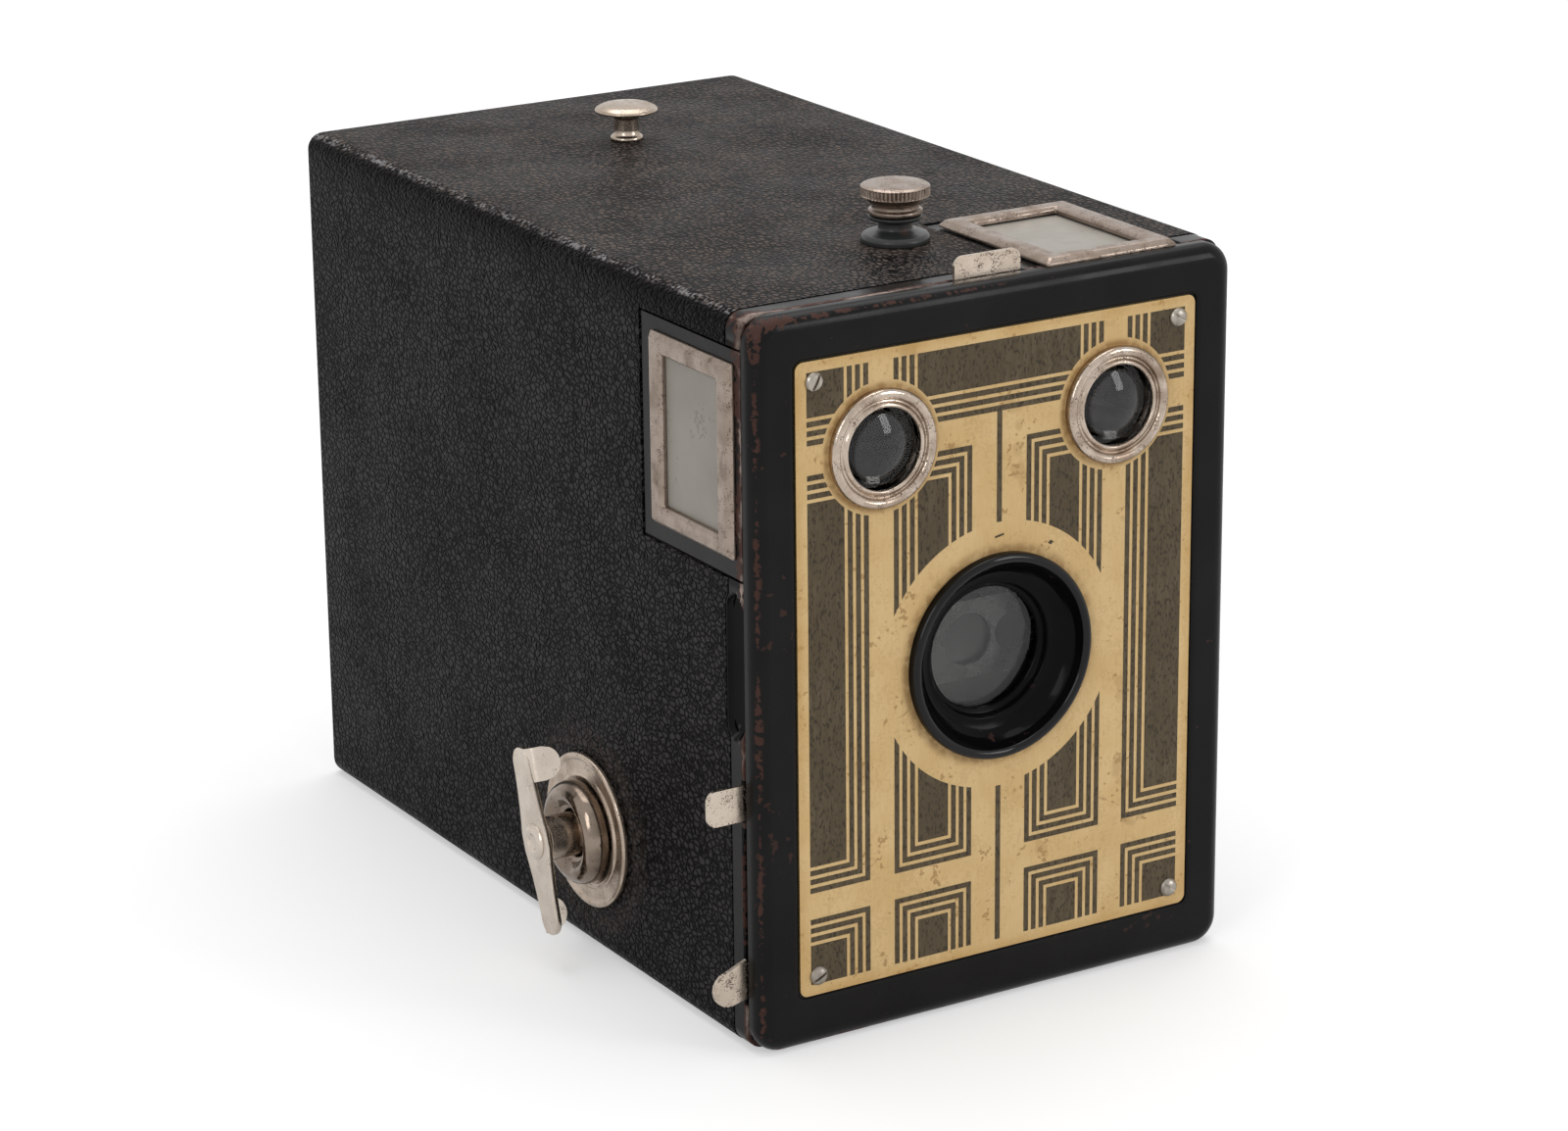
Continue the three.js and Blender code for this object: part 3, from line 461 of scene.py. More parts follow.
# ---- finishes ------------------------------------------------------------------------
@dataclass(frozen=True)
class Finish:
    """A finish: one material, painted when it is first used."""

    name: str
    slot: Slot

    def material(self) -> bpy.types.Material:
        """The finish's material, made once."""
        found = bpy.data.materials.get(self.name)
        if found:
            return found
        material = bpy.data.materials.new(self.name)
        material.use_nodes = True
        shader = material.node_tree.nodes["Principled BSDF"]
        self.paint(Sheet(material.node_tree), shader.inputs)
        return material

    def paint(self, sheet: Sheet, shader: bpy.types.NodeInputs) -> None:
        """Feeds the shader's sockets.

        Args:
            sheet: the material's node sheet.
            shader: the inputs of its Principled BSDF.
        """
        raise NotImplementedError


@dataclass(frozen=True)
class Enamel(Finish):
    """Stoved black enamel over a red-brown primer, rubbed through at the box's edges."""

    black: Colour = (0.0048, 0.0044, 0.0043)
    primer: Colour = (0.058, 0.027, 0.021)
    metal: Colour = (0.30, 0.24, 0.21)
    reach: float = 0.00045
    top: float = 0.102
    half_width: float = 0.038
    front: float = -0.065
    gloss: float = 0.20
    specular: float = 0.10
    polish: float = 0.06
    crest: float = 0.0

    def paint(self, sheet: Sheet, shader: bpy.types.NodeInputs) -> None:
        """Feeds black, primer and bare metal by the edge wear."""
        box = {"half_width": self.half_width, "top": self.top, "front": self.front}
        wear = RUBBED_EDGE.on(sheet, **box, reach=self.reach, left_gain=1.9)
        chips = SPECKS.on(sheet, scale=650.0, threshold=0.735, cluster=0.55)["Mask"]
        worn = sheet.math("MAXIMUM", wear["Mask"], sheet.math("MULTIPLY", chips, 0.55))
        tone = PATCHES.on(sheet, scale=45.0, low=0.0, high=0.5)["Value"]
        black = sheet.blend(tone, self.black, scaled(self.black, 1.9))
        base = sheet.blend(worn, black, self.primer)
        broken = PATCHES.on(sheet, scale=240.0, low=-0.4, high=1.0)["Value"]
        bare = sheet.math("MULTIPLY", wear["Core"], broken, clamp=True)
        sheet.feed(shader["Base Color"], sheet.blend(bare, base, self.metal))
        sheet.feed(shader["Metallic"], bare)
        rough = PATCHES.on(sheet, scale=130.0, low=self.gloss, high=self.gloss + 0.13)["Value"]
        sheet.feed(shader["Roughness"], sheet.math("MULTIPLY_ADD", worn, 0.38, rough, clamp=True))
        shader["Specular IOR Level"].default_value = self.specular
        shader["Coat Roughness"].default_value = 0.06
        shine = PATCHES.on(sheet, scale=90.0, low=self.polish * 0.5, high=self.polish)["Value"]
        if self.crest:
            proud = sheet.span(
                sheet.parts(sheet.here())[1], self.front, self.front - 0.0012, 0.0, self.crest
            )
            shine = sheet.math("ADD", shine, proud)
        sheet.feed(shader["Coat Weight"], shine)
        level = sheet.math("MULTIPLY_ADD", worn, -1.0, sheet.noise(900.0, detail=2.0))
        sheet.feed(shader["Normal"], sheet.bump(level, 0.00004, 0.4))


@dataclass(frozen=True)
class Stain:
    """A dirty ring round a fitting: its place and sizes in metres, and how much of it shows."""

    centre: Spot
    radius: float
    spread: float
    evenness: float
    share: float

    def mask(self, sheet: Sheet) -> Socket:
        """The ring's mask, from 0 to its share.

        Args:
            sheet: the material's node sheet.

        Returns:
            The mask's socket.
        """
        x, y, z = self.centre
        ring = HALO.on(sheet, x=x, y=y, z=z, radius=self.radius, spread=self.spread, evenness=self.evenness)
        return sheet.math("MULTIPLY", ring["Mask"], self.share)


@dataclass(frozen=True)
class Leatherette(Finish):
    """Black pebbled book cloth, a little dusty on top, with painted highlights on its pebble tips and top
    edge, and painted shade in its creases and below its top edge.
    """

    black: Colour = (0.0150, 0.0138, 0.0146)
    dust: Colour = (0.116, 0.090, 0.076)
    worn_glint: Colour = (0.22, 0.21, 0.21)
    pebbles: float = 1220.0
    relief: float = 0.00034
    stains: tuple[Stain, ...] = (
        Stain((0.0, -0.0395, 0.102), 0.0055, 0.0042, 0.15, 0.55),
        Stain((0.0, 0.034, 0.102), 0.003, 0.003, 0.3, 0.3),
        Stain((-0.038, -0.019, 0.018), 0.0135, 0.0035, 0.0, 0.3),
    )
    tip_highlight_gain: float = 2.8
    painted_shade_gain: float = 0.05
    shaded: Pair = (0.0945, 0.0995)

    def paint(self, sheet: Sheet, shader: bpy.types.NodeInputs) -> None:
        """Feeds the grain's bump, painted highlights on the pebble tips, painted shade in the creases and
        in a band below the top edge, painted glints along the top bend, and the settled dust.
        """
        grain = PEBBLE_GRAIN.on(sheet, scale=self.pebbles, wander=0.0005)
        tone = PATCHES.on(sheet, scale=38.0, low=0.0, high=1.0)["Value"]
        black = sheet.blend(tone, self.black, scaled(self.black, 1.55))
        up = sheet.parts(sheet.add("NewGeometry").outputs["Normal"])[2]
        height = sheet.parts(sheet.here())[2]
        # Painted shade: a darker band on the sides just below the top edge.
        under = sheet.math(
            "MULTIPLY", sheet.span(height, *self.shaded, 0.0, 0.9), sheet.span(up, 0.80, 0.66)
        )
        # Painted highlight on the pebble tips, and painted shade in the creases and in the band below the
        # top edge.
        gains = (
            (grain["Tip"], self.tip_highlight_gain), (grain["Crease"], self.painted_shade_gain), (under, self.painted_shade_gain)
        )
        for share, gain in gains:
            black = sheet.blend(share, black, scaled(self.black, gain))
        settled = PATCHES.on(sheet, scale=110.0, low=0.22, high=0.50)["Value"]
        lying = sheet.math("MULTIPLY", sheet.span(up, 0.55, 1.0), settled)
        # The dust is weighted to the pebble tips and kept out of the creases, which paints a highlight on
        # the tips.
        lying = sheet.math("MULTIPLY", lying, sheet.math("MULTIPLY_ADD", grain["Tip"], 1.7, 0.5))
        lying = sheet.math("MULTIPLY", lying, sheet.math("MULTIPLY_ADD", grain["Crease"], -0.9, 1.0))
        dirt, *others = (stain.mask(sheet) for stain in self.stains)
        for other in others:
            dirt = sheet.math("ADD", dirt, other)
        dirty = sheet.math("MAXIMUM", lying, dirt, clamp=True)
        # Painted glints: bright specks along the bend of the top edge, partly worn pebbles and partly
        # painted highlight.
        bend = sheet.math("MULTIPLY", sheet.span(up, 0.70, 0.84), sheet.span(up, 0.995, 0.95))
        glints = SPECKS.on(sheet, scale=1700.0, threshold=0.54, cluster=0.5)["Mask"]
        cloth = sheet.blend(dirty, black, self.dust)
        sheet.feed(
            shader["Base Color"], sheet.blend(sheet.math("MULTIPLY", bend, glints), cloth, self.worn_glint)
        )
        rough = PATCHES.on(sheet, scale=70.0, low=0.30, high=0.42)["Value"]
        sheet.feed(shader["Roughness"], sheet.math("MULTIPLY_ADD", dirty, 0.25, rough))
        shader["Specular IOR Level"].default_value = 0.025
        sheet.feed(shader["Normal"], sheet.bump(grain["Height"], self.relief))


@dataclass(frozen=True)
class Nickel(Finish):
    """Old nickel plate: warm, patchy and pitted."""

    bright: Colour = (0.46, 0.38, 0.31)
    tarnish: Colour = (0.25, 0.19, 0.14)
    pit: Colour = (0.095, 0.058, 0.038)
    smooth: float = 0.20
    dull: float = 0.42
    stained: float = 0.85
    pitting: float = 0.64
    hidden: float = 0.0
    inner_side: float = 0.0366
    inner_top: float = 0.1008

    def paint(self, sheet: Sheet, shader: bpy.types.NodeInputs) -> None:
        """Feeds tarnish patches and dark pits."""
        haze = PATCHES.on(sheet, scale=330.0, low=0.0, high=self.stained)["Value"]
        broad = PATCHES.on(sheet, scale=90.0, low=0.25, high=1.0)["Value"]
        stain = sheet.math("MULTIPLY", haze, broad)
        pits = SPECKS.on(sheet, scale=5200.0, threshold=self.pitting, cluster=0.6)["Mask"]
        plate = sheet.blend(stain, self.bright, self.tarnish)
        plate = sheet.blend(sheet.math("MULTIPLY", pits, 0.8), plate, self.pit)
        inside = self.blackened(sheet)
        sheet.feed(shader["Base Color"], sheet.blend(inside, plate, (0.012, 0.012, 0.012)))
        metal = sheet.math("MULTIPLY_ADD", pits, -0.6, 1.0)
        sheet.feed(shader["Metallic"], sheet.math("SUBTRACT", metal, inside, clamp=True))
        lines = HAIRLINES.on(sheet, scale=2400.0)["Value"]
        rough = sheet.span(stain, 0.0, 0.8, self.smooth, self.dull)
        rough = sheet.math("MULTIPLY_ADD", lines, 0.05, rough)
        sheet.feed(shader["Roughness"], sheet.math("MULTIPLY_ADD", pits, 0.25, rough, clamp=True))
        level = sheet.math("MULTIPLY_ADD", pits, -0.8, sheet.noise(1100.0, detail=3.0))
        sheet.feed(shader["Normal"], sheet.bump(level, 0.00003, 0.5))

    def blackened(self, sheet: Sheet) -> Socket:
        """The mask of the stretch that lies inside the body, blackened to keep stray light down.

        Args:
            sheet: the material's node sheet.

        Returns:
            The mask's socket.
        """
        x, _, z = sheet.parts(sheet.here())
        past_side = sheet.math("SUBTRACT", sheet.math("MULTIPLY", x, -1.0), self.inner_side)
        beyond = sheet.math("MAXIMUM", past_side, sheet.math("SUBTRACT", z, self.inner_top))
        return sheet.math("MULTIPLY", sheet.span(beyond, 0.0, -0.0006), self.hidden)


@dataclass(frozen=True)
class PlainSteel(Finish):
    """Bare or blackened steel with fine lines and dull patches."""

    light: Colour = (0.34, 0.33, 0.31)
    dark: Colour = (0.17, 0.155, 0.14)
    metallic: float = 1.0
    smooth: float = 0.3
    dull: float = 0.55

    def paint(self, sheet: Sheet, shader: bpy.types.NodeInputs) -> None:
        """Feeds lines and patches."""
        lines = HAIRLINES.on(sheet, scale=1500.0)["Value"]
        haze = PATCHES.on(sheet, scale=150.0, low=0.0, high=1.0)["Value"]
        share = sheet.math("MULTIPLY_ADD", lines, 0.35, sheet.math("MULTIPLY", haze, 0.65))
        sheet.feed(shader["Base Color"], sheet.blend(share, self.light, self.dark))
        shader["Metallic"].default_value = self.metallic
        sheet.feed(shader["Roughness"], sheet.span(share, 0.1, 0.9, self.smooth, self.dull))
        sheet.feed(shader["Normal"], sheet.bump(lines, 0.00002, 0.4))


@dataclass(frozen=True)
class PlateLacquer(Finish):
    """Cream-gold lacquer on brass: fine grain, freckles, dirt round the fittings."""

    cream: Colour = (0.66, 0.445, 0.198)
    pale: Colour = (0.74, 0.53, 0.265)
    stain: Colour = (0.30, 0.155, 0.05)
    aged: Colour = (0.52, 0.30, 0.095)
    brass: Colour = (0.83, 0.60, 0.24)
    rims: tuple[Stain, ...] = (
        Stain((0.0, -0.065, 0.0502), 0.0147, 0.0016, 0.3, 0.65),
        Stain((-0.0186, -0.065, 0.0823), 0.0083, 0.0010, 0.4, 0.75),
        Stain((0.0186, -0.065, 0.0823), 0.0083, 0.0010, 0.4, 0.75),
    )
    half_width: float = 0.03165
    half_height: float = 0.0441
    middle: float = 0.0515

    def paint(self, sheet: Sheet, shader: bpy.types.NodeInputs) -> None:
        """Feeds lacquer on the face and bright brass on the cut edges."""
        tone = PATCHES.on(sheet, scale=140.0, low=0.0, high=0.75)["Value"]
        grain = HAIRLINES.on(sheet, scale=3000.0)["Value"]
        face = sheet.blend(sheet.math("MULTIPLY_ADD", grain, 0.25, tone), self.cream, self.pale)
        freckles = SPECKS.on(sheet, scale=1300.0, threshold=0.70, cluster=0.9)["Mask"]
        blots = SPECKS.on(sheet, scale=170.0, threshold=0.66, cluster=0.5)["Mask"]
        mottle = SPECKS.on(sheet, scale=2100.0, threshold=0.56, cluster=0.7)["Mask"]
        dirt, *others = (rim.mask(sheet) for rim in self.rims)
        others += [
            sheet.math("MULTIPLY", mask, share)
            for mask, share in ((freckles, 0.6), (blots, 0.28), (mottle, 0.13))
        ]
        for other in others:
            dirt = sheet.math("MAXIMUM", dirt, other)
        face = sheet.blend(dirt, face, self.stain)
        x, _, z = sheet.parts(sheet.here())
        off_side = sheet.math("SUBTRACT", self.half_width, sheet.math("ABSOLUTE", x))
        off_middle = sheet.math("ABSOLUTE", sheet.math("SUBTRACT", z, self.middle))
        off_end = sheet.math("SUBTRACT", self.half_height, off_middle)
        aged = sheet.span(sheet.math("MINIMUM", off_side, off_end), 0.0017, 0.0002, 0.0, 0.55)
        uneven = PATCHES.on(sheet, scale=170.0, low=0.3, high=1.0)["Value"]
        face = sheet.blend(sheet.math("MULTIPLY", aged, uneven), face, self.aged)
        facing = sheet.math("ABSOLUTE", sheet.parts(sheet.add("NewGeometry").outputs["Normal"])[1])
        edge = sheet.span(facing, 0.93, 0.6)
        sheet.feed(shader["Base Color"], sheet.blend(edge, face, self.brass))
        sheet.feed(shader["Metallic"], sheet.math("MULTIPLY", edge, 0.9))
        rough = PATCHES.on(sheet, scale=200.0, low=0.38, high=0.52)["Value"]
        sheet.feed(shader["Roughness"], sheet.math("MULTIPLY_ADD", edge, -0.15, rough))
        shader["Specular IOR Level"].default_value = 0.16
        sheet.feed(shader["Normal"], sheet.bump(sheet.noise(2600.0, detail=3.0), 0.000012, 0.6))


@dataclass(frozen=True)
class StripeLacquer(Finish):
    """Olive-brown lacquer with a streaky bronze grain."""

    brown: Colour = (0.090, 0.068, 0.040)
    dark: Colour = (0.034, 0.026, 0.017)
    glint: Colour = (0.140, 0.108, 0.067)

    def paint(self, sheet: Sheet, shader: bpy.types.NodeInputs) -> None:
        """Feeds upright streaks, dark flecks and a little glint."""
        streaks = HAIRLINES.on(sheet, scale=1900.0)["Value"]
        tone = PATCHES.on(sheet, scale=120.0, low=0.1, high=0.7)["Value"]
        base = sheet.blend(sheet.math("MULTIPLY", streaks, tone), self.brown, self.glint)
        flecks = sheet.span(sheet.noise(3100.0, detail=3.0, stretch=(1.0, 1.0, 0.45)), 0.52, 0.64)
        sheet.feed(shader["Base Color"], sheet.blend(sheet.math("MULTIPLY", flecks, 0.8), base, self.dark))
        sheet.feed(shader["Roughness"], PATCHES.on(sheet, scale=260.0, low=0.36, high=0.55)["Value"])
        shader["Specular IOR Level"].default_value = 0.15
        sheet.feed(shader["Normal"], sheet.bump(streaks, 0.000015, 0.6))


@dataclass(frozen=True)
class Glass(Finish):
    """Clear glass with a little haze."""

    clear: Colour = (0.90, 0.90, 0.88)
    haze: float = 0.0
    thinness: float = 1.36

    def paint(self, sheet: Sheet, shader: bpy.types.NodeInputs) -> None:
        """Feeds a trace of dust in the roughness and the tint."""
        smear = PATCHES.on(sheet, scale=220.0, low=0.0, high=1.0)["Value"]
        sheet.feed(shader["Base Color"], sheet.blend(smear, self.clear, scaled(self.clear, 0.94)))
        sheet.feed(shader["Roughness"], sheet.math("MULTIPLY_ADD", smear, 0.035, self.haze))
        shader["Metallic"].default_value = 0.0
        shader["Transmission Weight"].default_value = 1.0
        shader["IOR"].default_value = self.thinness


@dataclass(frozen=True)
class GroundGlass(Finish):
    """Ground finder glass that glows evenly, with cloudy patches and dust."""

    pale: Colour = (0.335, 0.310, 0.270)
    shade: Colour = (0.262, 0.240, 0.208)

    def paint(self, sheet: Sheet, shader: bpy.types.NodeInputs) -> None:
        """Feeds a cloudy pale surface under a thin polish."""
        cloud = PATCHES.on(sheet, scale=55.0, low=0.0, high=0.7)["Value"]
        dust = SPECKS.on(sheet, scale=1500.0, threshold=0.69, cluster=0.8)["Mask"]
        base = sheet.blend(cloud, self.pale, self.shade)
        sheet.feed(
            shader["Base Color"], sheet.blend(sheet.math("MULTIPLY", dust, 0.4), base, (0.13, 0.10, 0.07))
        )
        sheet.feed(shader["Roughness"], PATCHES.on(sheet, scale=300.0, low=0.32, high=0.45)["Value"])
        shader["Specular IOR Level"].default_value = 0.25


@dataclass(frozen=True)
class Silvering(Finish):
    """A finder mirror whose silvering is painted dark, as painted shade that keeps the finder lens dark,
    with spots.
    """

    silver: Colour = (0.060, 0.060, 0.060)

    def paint(self, sheet: Sheet, shader: bpy.types.NodeInputs) -> None:
        """Feeds the silvering, painted dark as shade, and its spots."""
        spots = SPECKS.on(sheet, scale=700.0, threshold=0.68, cluster=0.8)["Mask"]
        # Painted shade: the dark silvering keeps the finder lens dark.
        sheet.feed(shader["Base Color"], sheet.blend(spots, self.silver, (0.03, 0.024, 0.02)))
        shader["Metallic"].default_value = 1.0
        sheet.feed(shader["Roughness"], sheet.math("MULTIPLY_ADD", spots, 0.4, 0.16))


@dataclass(frozen=True)
class Celluloid(Finish):
    """Ruby window film."""

    ruby: Colour = (0.30, 0.012, 0.008)

    def paint(self, sheet: Sheet, shader: bpy.types.NodeInputs) -> None:
        """Feeds a red that clouds a little."""
        cloud = PATCHES.on(sheet, scale=160.0, low=0.0, high=1.0)["Value"]
        sheet.feed(shader["Base Color"], sheet.blend(cloud, self.ruby, (0.16, 0.006, 0.005)))
        sheet.feed(shader["Roughness"], PATCHES.on(sheet, scale=420.0, low=0.10, high=0.24)["Value"])
        shader["Coat Weight"].default_value = 0.4


LEATHER = Leatherette("pebbled_leatherette", Slot.LEATHER)
PAN_ENAMEL = Enamel("pan_enamel", Slot.ENAMEL)
SHELL_ENAMEL = Enamel("shell_enamel", Slot.ENAMEL, reach=0.00045, front=-0.0614, specular=0.08, polish=0.07)
BOX_ENAMEL = Enamel(
    "finder_box_enamel", Slot.ENAMEL, reach=0.0008, front=-0.0616, top=0.1018, half_width=0.0378
)
HOOD_ENAMEL = Enamel(
    "hood_enamel",
    Slot.ENAMEL,
    reach=0.0,
    gloss=0.12,
    specular=0.05,
    black=(0.0028, 0.0026, 0.0030),
    polish=0.03,
    crest=0.35,
)
POST_ENAMEL = Enamel(
    "post_enamel", Slot.ENAMEL, reach=0.0, gloss=0.3, specular=0.35, black=(0.017, 0.019, 0.018)
)
NICKEL = Nickel("old_nickel", Slot.NICKEL)
FRAME_NICKEL = Nickel(
    "frame_nickel",
    Slot.NICKEL,
    bright=(0.31, 0.25, 0.21),
    tarnish=(0.20, 0.155, 0.12),
    pitting=0.60,
    stained=0.9,
    smooth=0.26,
    dull=0.5,
)
TAB_NICKEL = Nickel(
    "tab_nickel",
    Slot.NICKEL,
    bright=(0.56, 0.48, 0.40),
    tarnish=(0.40, 0.32, 0.25),
    pitting=0.62,
    stained=0.6,
    hidden=1.0,
)
WING_NICKEL = Nickel(
    "wing_nickel",
    Slot.NICKEL,
    bright=(0.58, 0.51, 0.44),
    tarnish=(0.40, 0.33, 0.27),
    pitting=0.70,
    stained=0.5,
)
# The dome's nickel is darkened: tarnish, and painted dark reflection standing in for the dark bands that
# the dome mirrors.
DIM_REFLECTION_NICKEL = Nickel(
    "browned_nickel",
    Slot.NICKEL,
    bright=(0.25, 0.20, 0.16),
    tarnish=(0.085, 0.06, 0.045),
    pitting=0.68,
    stained=1.0,
    smooth=0.12,
    dull=0.25,
)
BRIGHT_NICKEL = Nickel(
    "polished_nickel",
    Slot.NICKEL,
    bright=(0.50, 0.42, 0.35),
    tarnish=(0.22, 0.155, 0.11),
    pitting=0.61,
    stained=0.95,
    smooth=0.10,
    dull=0.30,
)
STEEL = PlainSteel("machined_steel", Slot.STEEL)
SCREW_STEEL = PlainSteel(
    "screw_steel", Slot.STEEL, light=(0.44, 0.41, 0.36), dark=(0.22, 0.19, 0.16), smooth=0.22
)
DARK_STEEL = PlainSteel(
    "sooty_steel", Slot.DARK_STEEL, light=(0.018, 0.018, 0.019), dark=(0.010, 0.010, 0.010), metallic=0.0
)
LACQUER = PlateLacquer("aged_cream_lacquer", Slot.LACQUER)
STRIPE = StripeLacquer("stripe_lacquer", Slot.LACQUER)
LENS_GLASS = Glass("clear_lens_glass", Slot.GLASS)
GROUND = GroundGlass("frosted_finder_glass", Slot.GROUND)
PAINTED_DARK_SILVER = Silvering("finder_silvering", Slot.MIRROR)
RUBY = Celluloid("ruby_film", Slot.RED)


# ---- outlines ------------------------------------------------------------------------
def arc(centre: Pair, radius: float, start: float, end: float, steps: int) -> list[Pair]:
    """Points along an arc.

    Args:
        centre: the arc's centre.
        radius: its radius.
        start: the first angle in degrees.
        end: the last angle in degrees.
        steps: how many chords it has.

    Returns:
        The points, one more than the chords.
    """
    angles = [math.radians(start + (end - start) * i / steps) for i in range(steps + 1)]
    return [(centre[0] + radius * math.cos(a), centre[1] + radius * math.sin(a)) for a in angles]


def rounded(low: Pair, high: Pair, radius: float, steps: int = 8) -> list[Pair]:
    """A rectangle with round corners, walked anticlockwise.

    Args:
        low: its lowest corner.
        high: its highest corner.
        radius: the corners' radius.
        steps: chords in each corner.

    Returns:
        The outline's points.
    """
    (x0, y0), (x1, y1) = low, high
    corners = (
        ((x1 - radius, y0 + radius), -90),
        ((x1 - radius, y1 - radius), 0),
        ((x0 + radius, y1 - radius), 90),
        ((x0 + radius, y0 + radius), 180),
    )
    return [p for centre, start in corners for p in arc(centre, radius, start, start + 90, steps)]


def circle(centre: Pair, radius: float, steps: int = 72) -> list[Pair]:
    """The points of a full circle."""
    return arc(centre, radius, 0, 360, steps)[:-1]


def soften(line: Sequence[Pair], reach: float, steps: int = 4) -> list[Pair]:
    """Rounds the inner corners of an open line.

    Args:
        line: the line's points.
        reach: how far from a corner its curve starts.
        steps: chords in each curve.

    Returns:
        The softened line.
    """
    soft = [tuple(line[0])]
    for before, corner, after in zip(line, line[1:], line[2:]):
        middle = Vector(corner)
        back, on = Vector(before) - middle, Vector(after) - middle
        cut = min(reach, back.length * 0.45, on.length * 0.45)
        start, end = middle + back.normalized() * cut, middle + on.normalized() * cut
        for i in range(steps + 1):
            t = i / steps
            spot = start * (1 - t) ** 2 + middle * (2 * t * (1 - t)) + end * t**2
            soft.append((spot.x, spot.y))
    soft.append(tuple(line[-1]))
    return soft


def shrink(outline: Sequence[Pair], inset: float) -> list[Pair]:
    """Moves a smooth closed outline inwards.

    Args:
        outline: its points, walked anticlockwise.
        inset: how far each point moves in.

    Returns:
        The smaller outline, point for point.
    """
    moved = []
    for i, here in enumerate(outline):
        before, after = Vector(outline[i - 1]), Vector(outline[(i + 1) % len(outline)])
        along = (after - before).normalized()
        moved.append((here[0] - along.y * inset, here[1] + along.x * inset))
    return moved


def between(first: Sequence[Pair], second: Sequence[Pair], share: float) -> list[Pair]:
    """The outline a share of the way from one outline to another."""
    return [(a[0] + (b[0] - a[0]) * share, a[1] + (b[1] - a[1]) * share) for a, b in zip(first, second)]


